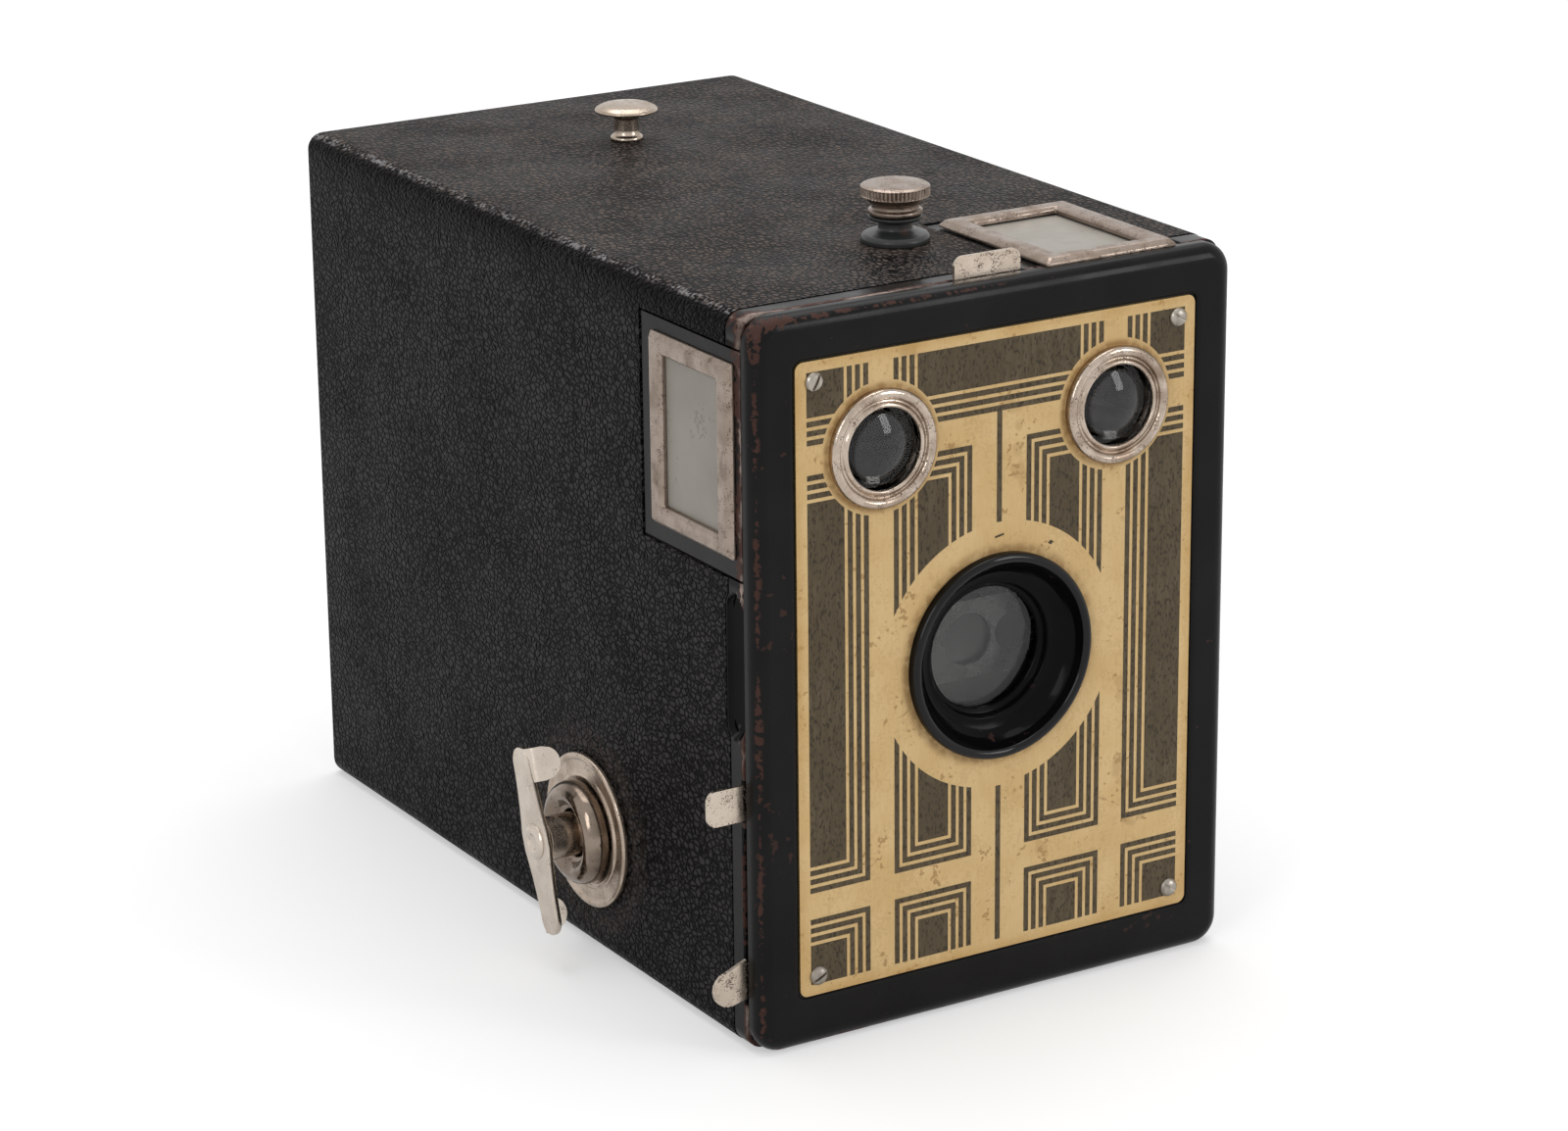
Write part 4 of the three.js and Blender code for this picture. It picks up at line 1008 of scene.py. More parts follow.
# ---- meshes --------------------------------------------------------------------------
class Shaper:
    """Gathers the vertices and faces of one piece."""

    def __init__(self) -> None:
        """Starts with an empty mesh."""
        self.mesh = bmesh.new()

    def ring(self, points: Iterable[Vector]) -> Ring:
        """Adds vertices at points given in metres."""
        return [self.mesh.verts.new(p) for p in points]

    def front_ring(self, outline: Iterable[Pair], depth: float) -> Ring:
        """Adds an outline in x and z at a depth."""
        return self.ring(place(x, depth, z) for x, z in outline)

    def face(self, *corners: bmesh.types.BMVert) -> None:
        """Adds a face, leaving out repeated corners."""
        unique = list(dict.fromkeys(corners))
        if len(unique) > 2:
            self.mesh.faces.new(unique)

    def bridge(self, first: Ring, second: Ring, closed: bool = True) -> None:
        """Joins two rings of the same length with faces.

        Args:
            first: one ring.
            second: the other ring.
            closed: whether the last points join the first ones.
        """
        count = len(first)
        for i in range(count if closed else count - 1):
            j = (i + 1) % count
            self.face(first[i], first[j], second[j], second[i])

    def loft(self, rings: Sequence[Ring], closed: bool = True) -> None:
        """Joins a row of rings one after another."""
        for first, second in zip(rings, rings[1:]):
            self.bridge(first, second, closed)

    def fill(self, outer: Ring, *holes: Ring) -> None:
        """Fills a flat region.

        Args:
            outer: the ring round it.
            *holes: rings inside it that stay open.
        """
        rings = [outer, *holes]
        flat = [v for ring in rings for v in ring]
        for corners in tessellate_polygon([[v.co / MM for v in ring] for ring in rings]):
            self.face(*(flat[i] for i in corners))

    def prism(self, rings: Sequence[Ring]) -> None:
        """Joins a row of rings and fills both ends."""
        self.loft(rings)
        self.fill(rings[0])
        self.fill(rings[-1])

    def turn(
        self,
        profile: Sequence[Pair],
        centre: Spot,
        axis: Axis,
        segments: int = 72,
        wave: Wave | None = None,
    ) -> None:
        """Turns a profile about an axis.

        Args:
            profile: pairs of radius and place along the axis.
            centre: x, depth and z of the axis; its own coordinate isn't used.
            axis: the axis's direction.
            segments: how many sides a full turn has.
            wave: gives what to add to the radius at a place along the axis and an angle.
        """
        rings = []
        for radius, along in profile:
            if radius < 1e-6:
                rings.append([self.mesh.verts.new(self.turned(0.0, 0.0, along, centre, axis))] * segments)
                continue
            spots = []
            for i in range(segments):
                angle = FULL_TURN * i / segments
                extra = wave(along, angle) if wave else 0.0
                spots.append(self.turned(radius + extra, angle, along, centre, axis))
            rings.append(self.ring(spots))
        self.loft(rings)

    @staticmethod
    def turned(radius: float, angle: float, along: float, centre: Spot, axis: Axis) -> Vector:
        """Places a point of a turned piece.

        Args:
            radius: its distance from the axis.
            angle: its angle round the axis.
            along: its place along the axis.
            centre: x, depth and z of the axis.
            axis: the axis's direction.

        Returns:
            The point in metres.
        """
        u, v = radius * math.cos(angle), radius * math.sin(angle)
        x, depth, z = centre
        if axis is Axis.X:
            return place(along, depth + u, z + v)
        if axis is Axis.Y:
            return place(x + u, along, z + v)
        return place(x + u, depth + v, along)

    def slab(self, outline: Sequence[Pair], to_frame: Lay, thick: float, soft: float) -> None:
        """Makes a plate with eased edges from a smooth outline.

        Args:
            outline: its points, walked anticlockwise.
            to_frame: turns across, up and out into a point in metres.
            thick: its thickness outwards.
            soft: how far its edges are eased.
        """
        steps = (
            (soft, 0.0),
            (soft * 0.3, soft * 0.3),
            (0.0, soft),
            (0.0, thick - soft),
            (soft * 0.3, thick - soft * 0.3),
            (soft, thick),
        )
        inner = shrink(outline, soft * 1.3)
        levels = [(inner, 0.0)] + [(shrink(outline, inset), out) for inset, out in steps] + [(inner, thick)]
        self.prism([self.ring(to_frame(x, y, out) for x, y in points) for points, out in levels])

    def bake(self, name: str) -> bpy.types.Object:
        """Turns the gathered mesh, which is used up, into an object in the scene."""
        data = bpy.data.meshes.new(name)
        self.mesh.to_mesh(data)
        self.mesh.free()
        return hang(name, data)

    def make(
        self,
        name: str,
        finish: Finish,
        body: Rides,
        replaces: Sequence[str] = (),
        sharp: float = SHARP_ANGLE,
    ) -> bpy.types.Object:
        """Makes the piece and puts it on its body.

        Args:
            name: the piece's name.
            finish: its finish.
            body: the body that it rides on.
            replaces: the CAD nodes that it stands for.
            sharp: the angle from which an edge stays sharp.

        Returns:
            The new object.
        """
        bmesh.ops.remove_doubles(self.mesh, verts=self.mesh.verts, dist=1e-8)
        bmesh.ops.recalc_face_normals(self.mesh, faces=self.mesh.faces)
        for edge in self.mesh.edges:
            edge.smooth = not (len(edge.link_faces) == 2 and edge.calc_face_angle() > sharp)
        for part in self.mesh.faces:
            part.smooth = True
        piece = self.bake(name)
        piece.data.materials.append(finish.material())
        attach(piece, body.value)
        if replaces:
            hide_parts(*replaces)
        LOG.info("made %s on %s", name, body.value)
        return piece


def lathe(
    name: str,
    profile: Sequence[Pair],
    centre: Spot,
    axis: Axis,
    finish: Finish,
    body: Rides,
    replaces: str,
    segments: int = 72,
    wave: Wave | None = None,
) -> None:
    """Makes a piece that is one turned profile.

    Args:
        name: the piece's name.
        profile: pairs of radius and place along the axis.
        centre: x, depth and z of the axis; its own coordinate isn't used.
        axis: the axis's direction.
        finish: its finish.
        body: the body that it rides on.
        replaces: the CAD node that it stands for.
        segments: how many sides a full turn has.
        wave: gives what to add to the radius at a place along the axis and an angle.
    """
    shaper = Shaper()
    shaper.turn(profile, centre, axis, segments, wave)
    shaper.make(name, finish, body, (replaces,))


def ease(piece: bpy.types.Object, width: float, angle: float = 35.0, segments: int = 2) -> None:
    """Bevels a piece's sharp edges.

    Args:
        piece: the piece.
        width: the bevel's width in millimetres.
        angle: edges sharper than this many degrees are bevelled.
        segments: steps in the bevel.
    """
    bevel = piece.modifiers.new("ease", "BEVEL")
    bevel.width = width * MM
    bevel.segments = segments
    bevel.limit_method = "ANGLE"
    bevel.angle_limit = math.radians(angle)
    bevel.harden_normals = True
    bevel.use_clamp_overlap = True


def thicken(piece: bpy.types.Object, thick: float) -> None:
    """Gives an open sheet a thickness away from its outer face, in millimetres."""
    shell = piece.modifiers.new("thicken", "SOLIDIFY")
    shell.thickness = thick * MM
    shell.offset = -1.0


def carve(piece: bpy.types.Object, tool: Shaper) -> None:
    """Cuts a closed tool out of a closed piece.

    Args:
        piece: the piece to cut.
        tool: the tool's mesh, used up by the cut.
    """
    bmesh.ops.recalc_face_normals(tool.mesh, faces=tool.mesh.faces)
    cutter = tool.bake("tool")
    step = piece.modifiers.new("carve", "BOOLEAN")
    step.operation = "DIFFERENCE"
    step.solver = "EXACT"
    step.object = cutter
    graph = bpy.context.evaluated_depsgraph_get()
    cut = bpy.data.meshes.new_from_object(piece.evaluated_get(graph))
    piece.modifiers.remove(step)
    piece.data = cut
    bpy.data.objects.remove(cutter)


def dress_node(name: str, finish: Finish, edge: float = 0.0, angle: float = 35.0) -> bpy.types.Object:
    """Gives a CAD node its finish and, where asked, eased edges.

    Args:
        name: the node's name.
        finish: its finish.
        edge: the width of its eased edges in millimetres, or 0 for none.
        angle: edges sharper than this many degrees are eased.

    Returns:
        The node's object.
    """
    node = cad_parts[name]
    if node.data.materials:
        for i in range(len(node.data.materials)):
            node.data.materials[i] = finish.material()
    else:
        node.data.materials.append(finish.material())
    if edge > 0:
        ease(node, edge, angle)
    LOG.info("dressed %s", name)
    return node


# ---- body ----------------------------------------------------------------------------
@dataclass(frozen=True)
class Grip:
    """The scooped finger grip behind the front rim."""

    low: float = 44.0
    high: float = 64.0
    radius: float = 2.0
    depth: float = 5.5
    margin: float = 0.3
    flare: float = 0.62

    def off_line(self, z: float) -> float:
        """How far a height is beyond the scoop's straight part."""
        return max(self.low + self.radius - z, z - (self.high - self.radius), 0.0)

    def sink(self, depth: float, z: float) -> float:
        """How deep the scoop is at a place on the wall."""
        apart = math.hypot(self.off_line(z), depth - self.depth) / self.radius
        return self.radius * (1 - apart**2) ** self.flare if apart < 1 else 0.0

    def skirt(self, z: float, plain: float) -> float:
        """The depth where the covering starts at a height, given its plain depth elsewhere."""
        reach = self.radius + self.margin
        off = self.off_line(z)
        return max(plain, self.depth + math.sqrt(reach**2 - off**2)) if off < reach else plain


@dataclass(frozen=True)
class Notch:
    """An opening for a finder window, from the front rim to a depth."""

    rear: float
    low: float
    high: float

    def holds(self, value: float) -> bool:
        """Whether a place along the wall is in the opening."""
        return self.low - 1e-6 <= value <= self.high + 1e-6


@dataclass(frozen=True)
class Station:
    """A point on the box's outline, with the way out from it."""

    x: float
    z: float
    out_x: float
    out_z: float

    def at(self, inset: float, depth: float) -> Vector:
        """The point moved inwards, at a depth, in metres."""
        return place(self.x - self.out_x * inset, depth, self.z - self.out_z * inset)


@dataclass
class Body:
    """The steel shell, its front band with the finger grips, and the leatherette."""

    width: float = 76.0
    height: float = 102.0
    corner: float = 2.5
    lip: float = 3.6
    skirt: float = 7.0
    rear: float = 129.7
    back: float = 130.0
    cloth: float = 0.42
    shy: float = 0.005
    steel: float = 1.0
    sunk: float = 0.5
    band_inset: float = 0.1
    seam: float = 0.35
    grip: Grip = field(default_factory=Grip)
    side_notch: Notch = field(default_factory=lambda: Notch(29.2, 66.0, 97.6))
    top_notch: Notch = field(default_factory=lambda: Notch(31.2, 7.9, 31.6))
    tab_slots: tuple[Pair, ...] = ((32.7, 38.7), (6.4, 32.0))
    time_slot: Pair = (-5.8, 6.2)
    slot_rear: float = 4.3
    window: Spot = (14.0, 35.0, 5.5)
    ring_wide: float = 2.45
    turn_over: float = 1.3
    shell_gap: float = 0.5
    hem: float = 0.6
    tuck: float = 0.12
    panel_edge: float = 3.2
    panel_corner: float = 1.6

    def outline(self) -> list[Station]:
        """The outline from the middle of the base, up the right, over the top and down the left."""
        half, r, top = self.width / 2, self.corner, self.height
        heights = [r + 0.01 + i * (top - 2 * r) / 24 for i in range(25)]
        heights += [self.grip.low - 0.8 + i * 0.45 for i in range(49)]
        heights += [self.side_notch.low, self.side_notch.high]
        for low, high in self.tab_slots:
            heights += [low, low + 0.02, high, high + 0.02]
        heights = sorted(set(h for h in heights if r < h < top - r))
        across = [-(half - r) + i * 2 * (half - r) / 20 for i in range(1, 20)]
        across += [self.top_notch.low, self.top_notch.high]
        across += [x + step for x in self.time_slot for step in (0.0, 0.02)]
        across = sorted(set(across), reverse=True)
        walk = [Station(x, 0.0, 0.0, -1.0) for x in (self.seam / 2, 8.0, 16.0, 24.0, half - r - 0.01)]
        walk += self.bend((half - r, r), -90)
        walk += [Station(half, z, 1.0, 0.0) for z in heights]
        walk += self.bend((half - r, top - r), 0)
        walk += [Station(x, top, 0.0, 1.0) for x in across]
        walk += self.bend((r - half, top - r), 90)
        walk += [Station(-half, z, -1.0, 0.0) for z in reversed(heights)]
        walk += self.bend((r - half, r), 180)
        walk += [Station(x, 0.0, 0.0, -1.0) for x in (r + 0.01 - half, -24.0, -16.0, -8.0, -self.seam / 2)]
        return walk

    def bend(self, centre: Pair, start: float, steps: int = 8) -> list[Station]:
        """The stations of one round corner.

        Args:
            centre: the corner's centre.
            start: its first angle in degrees.
            steps: chords in the corner.

        Returns:
            The stations.
        """
        outer = arc(centre, self.corner, start, start + 90, steps)
        return [
            Station(x, z, (x - centre[0]) / self.corner, (z - centre[1]) / self.corner)
            for x, z in outer
        ]

    def opened(self, station: Station, depth: float) -> bool:
        """Whether a place on the wall lies in a finder opening."""
        if station.out_x < -0.99:
            return self.side_notch.holds(station.z) and depth < self.side_notch.rear + 1e-6
        if station.out_z > 0.99:
            return self.top_notch.holds(station.x) and depth < self.top_notch.rear + 1e-6
        return False

    def cloth_front(self, station: Station) -> float:
        """The depth where the covering starts at a station."""
        return self.grip.skirt(station.z, self.skirt) if abs(station.out_x) > 0.99 else self.skirt

    def lip_front(self, station: Station) -> float:
        """The depth of the steel's front lip at a station, behind the tabs' slots."""
        if station.out_x < -0.99 and any(low < station.z < high + 0.02 for low, high in self.tab_slots):
            return self.slot_rear
        if station.out_z > 0.99 and self.time_slot[0] < station.x < self.time_slot[1] + 0.02:
            return self.slot_rear
        return self.lip

    def net(
        self,
        shaper: Shaper,
        walk: Sequence[Station],
        rows: Sequence[Callable[[Station], Pair]],
        closed: bool,
    ) -> list[Ring]:
        """Lays rows of points round the box and joins them, leaving the openings out.

        Args:
            shaper: the mesh to add to.
            walk: the stations round the box.
            rows: each gives an inset and a depth at a station.
            closed: whether the last station joins the first.

        Returns:
            The rings, front to back.
        """
        spots = [[row(s) for s in walk] for row in rows]
        rings = [shaper.ring(s.at(*spot) for s, spot in zip(walk, line)) for line in spots]
        count = len(walk)
        for k in range(len(rings) - 1):
            for i in range(count if closed else count - 1):
                j = (i + 1) % count
                rear = max(spots[k + 1][i][1], spots[k + 1][j][1])
                if self.opened(walk[i], rear) and self.opened(walk[j], rear):
                    continue
                shaper.face(rings[k][i], rings[k + 1][i], rings[k + 1][j], rings[k][j])
        loose = [v for v in shaper.mesh.verts if not v.link_faces]
        bmesh.ops.delete(shaper.mesh, geom=loose, context="VERTS")
        return rings

    def wrap(self) -> None:
        """The leatherette wrapped round the box, turned over at the back, with its seam below."""
        shaper = Shaper()
        turn = self.turn_over
        flat = [lambda s, more=more: (self.shy, self.cloth_front(s) + more) for more in (0.0, self.hem)]
        stops = (
            12.0, 20.0, self.side_notch.rear, self.top_notch.rear, 45.0, 65.0, 85.0, 105.0, 120.0,
            self.rear - turn,
        )
        flat += [lambda s, d=d: (self.shy, d) for d in stops]
        curve = arc((turn, self.rear - turn), turn, 180, 90, 6)[1:]
        flat += [lambda s, spot=spot: spot for spot in curve]
        flat.append(lambda s: (turn + 0.2, self.rear))
        walk = self.outline()
        rings = self.net(shaper, walk, flat, closed=False)
        x, z, radius = self.window
        hole = shaper.front_ring(circle((x, z), radius + self.ring_wide, 48), self.rear)
        shaper.fill(rings[-1], hole)
        piece = shaper.make("leather_wrap", LEATHER, Rides.SHELL, ("covering_wrap",))
        thicken(piece, self.cloth)
        ease(piece, 0.12, 50.0)

    def back_panel(self) -> None:
        """The leatherette panel let into the back, with a hole for the red window."""
        shaper = Shaper()
        half, edge = self.width / 2, self.panel_edge
        outline = rounded((edge - half, edge), (half - edge, self.height - edge), self.panel_corner)
        x, z, radius = self.window
        hole = circle((x, z), radius + self.ring_wide, 48)
        levels = ((0.0, self.rear - 0.05), (0.0, self.back - 0.12), (0.12, self.back))
        rims = [shaper.front_ring(shrink(outline, inset), depth) for inset, depth in levels]
        wells = [shaper.front_ring(shrink(hole, -inset), depth) for inset, depth in levels]
        shaper.loft(rims)
        shaper.loft(wells)
        shaper.fill(rims[-1], wells[-1])
        shaper.fill(rims[0], wells[0])
        shaper.make("leather_back", LEATHER, Rides.SHELL, ("covering_back",))

    def shell(self) -> None:
        """The enamelled steel shell with its band and grips."""
        shaper = Shaper()
        walk = self.outline()

        def band_row(share: float) -> Callable[[Station], Pair]:
            """A row of the band, a share of the way from the lip to the covering."""

            def row(s: Station) -> Pair:
                """The inset and depth at a station."""
                front = self.lip_front(s)
                depth = front + share * (self.cloth_front(s) - self.tuck - front)
                sink = self.grip.sink(depth, s.z) if abs(s.out_x) > 0.99 else 0.0
                return (self.band_inset + sink, depth)

            return row

        rows = [band_row(i / 22) for i in range(23)]
        rows.append(lambda s: (self.sunk, self.cloth_front(s) - 0.04))
        stops = (12.0, 20.0, self.side_notch.rear, self.top_notch.rear, 60.0, 95.0, self.rear - 0.6)
        rows += [lambda s, d=d: (self.sunk, d) for d in stops]
        rows.append(lambda s: (self.sunk + 0.3, self.rear - self.shell_gap))
        rings = self.net(shaper, walk, rows, closed=True)
        x, z, radius = self.window
        hole = shaper.front_ring(circle((x, z), radius, 48), self.rear - self.shell_gap)
        shaper.fill(rings[-1], hole)
        piece = shaper.make("steel_shell", SHELL_ENAMEL, Rides.SHELL, ("body_shell",))
        thicken(piece, self.steel)

    def red_window(self) -> None:
        """The red window and the ring that holds it."""
        x, z, radius = self.window
        steps = (
            (0.0, 129.3), (2.1, 129.3), (2.1, 129.8), (1.6, 129.95), (0.7, 129.95), (0.2, 129.75),
            (0.0, 129.3),
        )
        profile = soften([(radius + more, depth) for more, depth in steps], 0.15)
        lathe("window_ring", profile, (x, 0.0, z), Axis.Y, NICKEL, Rides.SHELL, "red_window_ring")
        dress_node("red_window", RUBY)

    def build(self) -> None:
        """Builds the body's pieces."""
        self.shell()
        self.wrap()
        self.back_panel()
        self.red_window()


# ---- front ---------------------------------------------------------------------------
@dataclass(frozen=True)
class Front:
    """Sizes shared by the pieces of the front."""

    plate_half: float = 31.65
    plate_low: float = 7.4
    plate_high: float = 95.6
    plate_face: float = 0.1
    plate_thick: float = 0.35
    lens_z: float = 50.2
    lens_hole: float = 13.2
    finder_x: float = 18.6
    finder_z: float = 82.3
    finder_hole: float = 7.0
    screw_x: float = 28.8
    screw_low: float = 10.2
    screw_high: float = 92.8

    def holes(self) -> list[list[Pair]]:
        """The outlines of the lens hole and of the two finder holes."""
        finders = [circle((side * self.finder_x, self.finder_z), self.finder_hole, 48) for side in (-1, 1)]
        return [circle((0.0, self.lens_z), self.lens_hole, 64), *finders]

    def screws(self) -> list[Pair]:
        """The places of the four face screws, lower ones first."""
        return [(side * self.screw_x, z) for z in (self.screw_low, self.screw_high) for side in (-1, 1)]


@dataclass
class FrontPan:
    """The enamelled pan with its rounded rim and the shallow recess for the face plate."""

    front: Front
    half: float = 38.0
    height: float = 102.0
    corner: float = 4.0
    round_over: float = 2.2
    rear: float = 3.1
    wall: float = 0.9
    floor: float = 0.45
    sheet: float = 1.0
    gap: float = 0.3
    eased: float = 0.12

    def frame_ring(self, shaper: Shaper, inset: float, depth: float, corner: float | None = None) -> Ring:
        """Adds the pan's outline, moved in, at a depth.

        Args:
            shaper: the mesh to add to.
            inset: how far it moves in.
            depth: its depth.
            corner: its corner radius, or None for what the inset leaves.

        Returns:
            The ring.
        """
        radius = max(self.corner - inset, 0.3) if corner is None else corner
        outline = rounded((inset - self.half, inset), (self.half - inset, self.height - inset), radius, 10)
        return shaper.front_ring(outline, depth)

    def build(self) -> bpy.types.Object:
        """Builds the pan as one closed pressing."""
        shaper = Shaper()
        r, f = self.round_over, self.front
        rows = [(self.eased, self.rear), (0.0, self.rear - self.eased), (0.0, r + 0.05)]
        rows += [*arc((r, r), r, 180, 270, 10), (r + 0.25, 0.0)]
        rings = [self.frame_ring(shaper, *row) for row in rows]
        side, low, high = f.plate_half + self.gap, f.plate_low - self.gap, f.plate_high + self.gap
        for grow, depth in ((0.75, 0.0), (0.5, 0.0), (0.15, 0.07), (0.0, 0.22), (0.0, self.floor)):
            outline = rounded((-side - grow, low - grow), (side + grow, high + grow), 1.2 + grow, 10)
            rings.append(shaper.front_ring(outline, depth))
        shaper.loft(rings)
        fronts = [shaper.front_ring(hole, self.floor) for hole in f.holes()]
        backs = [shaper.front_ring(hole, self.sheet) for hole in f.holes()]
        shaper.fill(rings[-1], *fronts)
        for first, second in zip(fronts, backs):
            shaper.bridge(first, second)
        deep = ((self.wall, self.rear), (self.wall, self.sheet + 1.0), (self.wall + 1.0, self.sheet, 2.2))
        inner = [self.frame_ring(shaper, *row) for row in deep]
        shaper.bridge(rings[0], inner[0])
        shaper.loft(inner)
        shaper.fill(inner[-1], *backs)
        return shaper.make("enamelled_pan", PAN_ENAMEL, Rides.SECTION, ("front_pan",))


@dataclass(frozen=True)
class Panel:
    """One striped field of the face plate, in plate millimetres from its upper left corner."""

    x: Pair
    y: Pair
    closed: str

    def inset(self, amount: float) -> tuple[float, float, float, float]:
        """The field drawn in by an amount at its closed sides."""
        (x0, x1), (y0, y1) = self.x, self.y
        x0 += amount if "l" in self.closed else 0.0
        x1 -= amount if "r" in self.closed else 0.0
        y0 += amount if "t" in self.closed else 0.0
        y1 -= amount if "b" in self.closed else 0.0
        return x0, x1, y0, y1

    def mirrored(self, width: float) -> "Panel":
        """The same field on the plate's other half."""
        swap = {"l": "r", "r": "l"}
        closed = "".join(swap.get(side, side) for side in self.closed)
        return Panel((width - self.x[1], width - self.x[0]), self.y, closed)


@dataclass
class FacePlate:
    """The lacquered plate with its nested stripes and the four slotted screws."""

    front: Front
    corner: float = 1.2
    line: float = 0.75
    pitch: float = 1.25
    lines: int = 3
    proud: float = 0.03
    let_in: float = 0.02
    centre_half: float = 0.4
    tool_depths: Pair = (-0.6, 0.6)
    slot_depths: Pair = (-1.5, -0.28)
    slot_half: Pair = (2.0, 0.19)
    eased: float = 0.07
    dash: tuple[Pair, ...] = ((31.0, 28.9), (32.4, 28.65), (32.4, 28.35), (31.0, 28.6))
    diamond: tuple[Pair, ...] = ((39.5, 31.0), (40.0, 31.35), (40.5, 31.0), (40.0, 30.65))
    lens_ring: float = 18.7
    finder_ring: float = 9.15
    panels: tuple[Panel, ...] = (
        Panel((1.7, 11.1), (1.5, 11.3), "rb"),
        Panel((1.7, 11.1), (15.3, 73.45), "trb"),
        Panel((15.0, 27.3), (15.3, 73.45), "tlrb"),
        Panel((1.7, 11.1), (77.2, 86.6), "tr"),
        Panel((15.0, 27.3), (77.2, 86.6), "tlr"),
    )
    heading: Panel = Panel((15.0, 48.3), (1.5, 11.3), "lrb")
    centre_lines: tuple[Pair, ...] = ((11.3, 26.7), (64.2, 86.7))
    slot_turns: tuple[float, ...] = (28.0, -38.0, 62.0, -35.0)

    def in_frame(self, x: float, y: float) -> Pair:
        """Turns plate millimetres into x and z of the frame."""
        return x - self.front.plate_half, self.front.plate_high - y

    def relief(self) -> Pair:
        """The depths of the raised lacquer's face and of its foot, which is let into the plate."""
        return self.front.plate_face - self.proud, self.front.plate_face + self.let_in

    def plate(self) -> None:
        """The plate itself, with eased edges."""
        shaper, f = Shaper(), self.front
        outline = rounded((-f.plate_half, f.plate_low), (f.plate_half, f.plate_high), self.corner, 8)
        holes = f.holes()
        soft = self.eased
        steps = (
            (soft + 0.15, 0.0), (soft, 0.0), (soft * 0.3, soft * 0.3), (0.0, soft), (0.0, f.plate_thick)
        )
        rims = [shaper.front_ring(shrink(outline, inset), f.plate_face + deep) for inset, deep in steps]
        wells = [
            [shaper.front_ring(hole, f.plate_face + deep) for hole in holes]
            for deep in (0.0, f.plate_thick)
        ]
        shaper.loft(rims)
        for first, second in zip(*wells):
            shaper.bridge(first, second)
        shaper.fill(rims[0], *wells[0])
        shaper.fill(rims[-1], *wells[1])
        shaper.make("lacquered_plate", LACQUER, Rides.SECTION, ("face_plate",))

    def band_cells(
        self, panel: Panel, start: float, end: float | None
    ) -> list[tuple[float, float, float, float]]:
        """The rectangles that make up one stripe of a field.

        Args:
            panel: the field.
            start: the stripe's outer inset.
            end: its inner inset, or None for the solid middle.

        Returns:
            The rectangles, side by side.
        """
        x0, x1, y0, y1 = panel.inset(start)
        if end is None:
            return [(x0, x1, y0, y1)]
        ix0, ix1, iy0, iy1 = panel.inset(end)
        xs, ys = sorted({x0, ix0, ix1, x1}), sorted({y0, iy0, iy1, y1})
        cells = []
        for left, right in zip(xs, xs[1:]):
            for low, high in zip(ys, ys[1:]):
                cx, cy = (left + right) / 2, (low + high) / 2
                if not (ix0 < cx < ix1 and iy0 < cy < iy1):
                    cells.append((left, right, low, high))
        return cells

    def raise_cells(self, shaper: Shaper, cells: Sequence[tuple[float, float, float, float]]) -> None:
        """Raises joined rectangles into one closed low relief.

        Args:
            shaper: the mesh to add to.
            cells: the rectangles, in plate millimetres.
        """
        depths = self.relief()
        corners: dict[tuple[float, float, float], bmesh.types.BMVert] = {}

        def corner(x: float, y: float, depth: float) -> bmesh.types.BMVert:
            """The shared vertex at a cell's corner."""
            key = (round(x, 4), round(y, 4), depth)
            if key not in corners:
                at_x, at_z = self.in_frame(x, y)
                corners[key] = shaper.mesh.verts.new(place(at_x, depth, at_z))
            return corners[key]

        sides: dict[frozenset[Pair], tuple[Pair, Pair]] = {}
        for left, right, low, high in cells:
            walk = [(left, low), (right, low), (right, high), (left, high)]
            for depth in depths:
                shaper.face(*(corner(x, y, depth) for x, y in walk))
            for a, b in zip(walk, walk[1:] + walk[:1]):
                key = frozenset((tuple(round(v, 4) for v in a), tuple(round(v, 4) for v in b)))
                if sides.pop(key, None) is None:
                    sides[key] = (a, b)
        for a, b in sides.values():
            shaper.face(
                corner(*a, depths[0]), corner(*b, depths[0]), corner(*b, depths[1]), corner(*a, depths[1])
            )

    def stripes(self) -> None:
        """All the dark fields and stripes, cut round by the lens and finder rings."""
        shaper, f = Shaper(), self.front
        width = 2 * f.plate_half
        fields = [self.heading, *self.panels, *(panel.mirrored(width) for panel in self.panels)]
        for panel in fields:
            for i in range(self.lines):
                start = i * self.pitch
                self.raise_cells(shaper, self.band_cells(panel, start, start + self.line))
            self.raise_cells(shaper, self.band_cells(panel, self.lines * self.pitch, None))
        for y0, y1 in self.centre_lines:
            sides = (f.plate_half - self.centre_half, f.plate_half + self.centre_half)
            self.raise_cells(shaper, [(*sides, y0, y1)])
        piece = shaper.make("plate_stripes", STRIPE, Rides.SECTION)
        tool = Shaper()
        rings = [((0.0, f.lens_z), self.lens_ring)]
        rings += [((side * f.finder_x, f.finder_z), self.finder_ring) for side in (-1, 1)]
        for centre, radius in rings:
            tool.prism([tool.front_ring(circle(centre, radius, 120), depth) for depth in self.tool_depths])
        carve(piece, tool)

    def marks(self) -> None:
        """The short dash and the small diamond over the lens."""
        shaper = Shaper()
        for points in (self.dash, self.diamond):
            outline = [self.in_frame(*p) for p in points]
            shaper.prism([shaper.front_ring(outline, depth) for depth in self.relief()])
        shaper.make("plate_marks", STRIPE, Rides.SECTION)

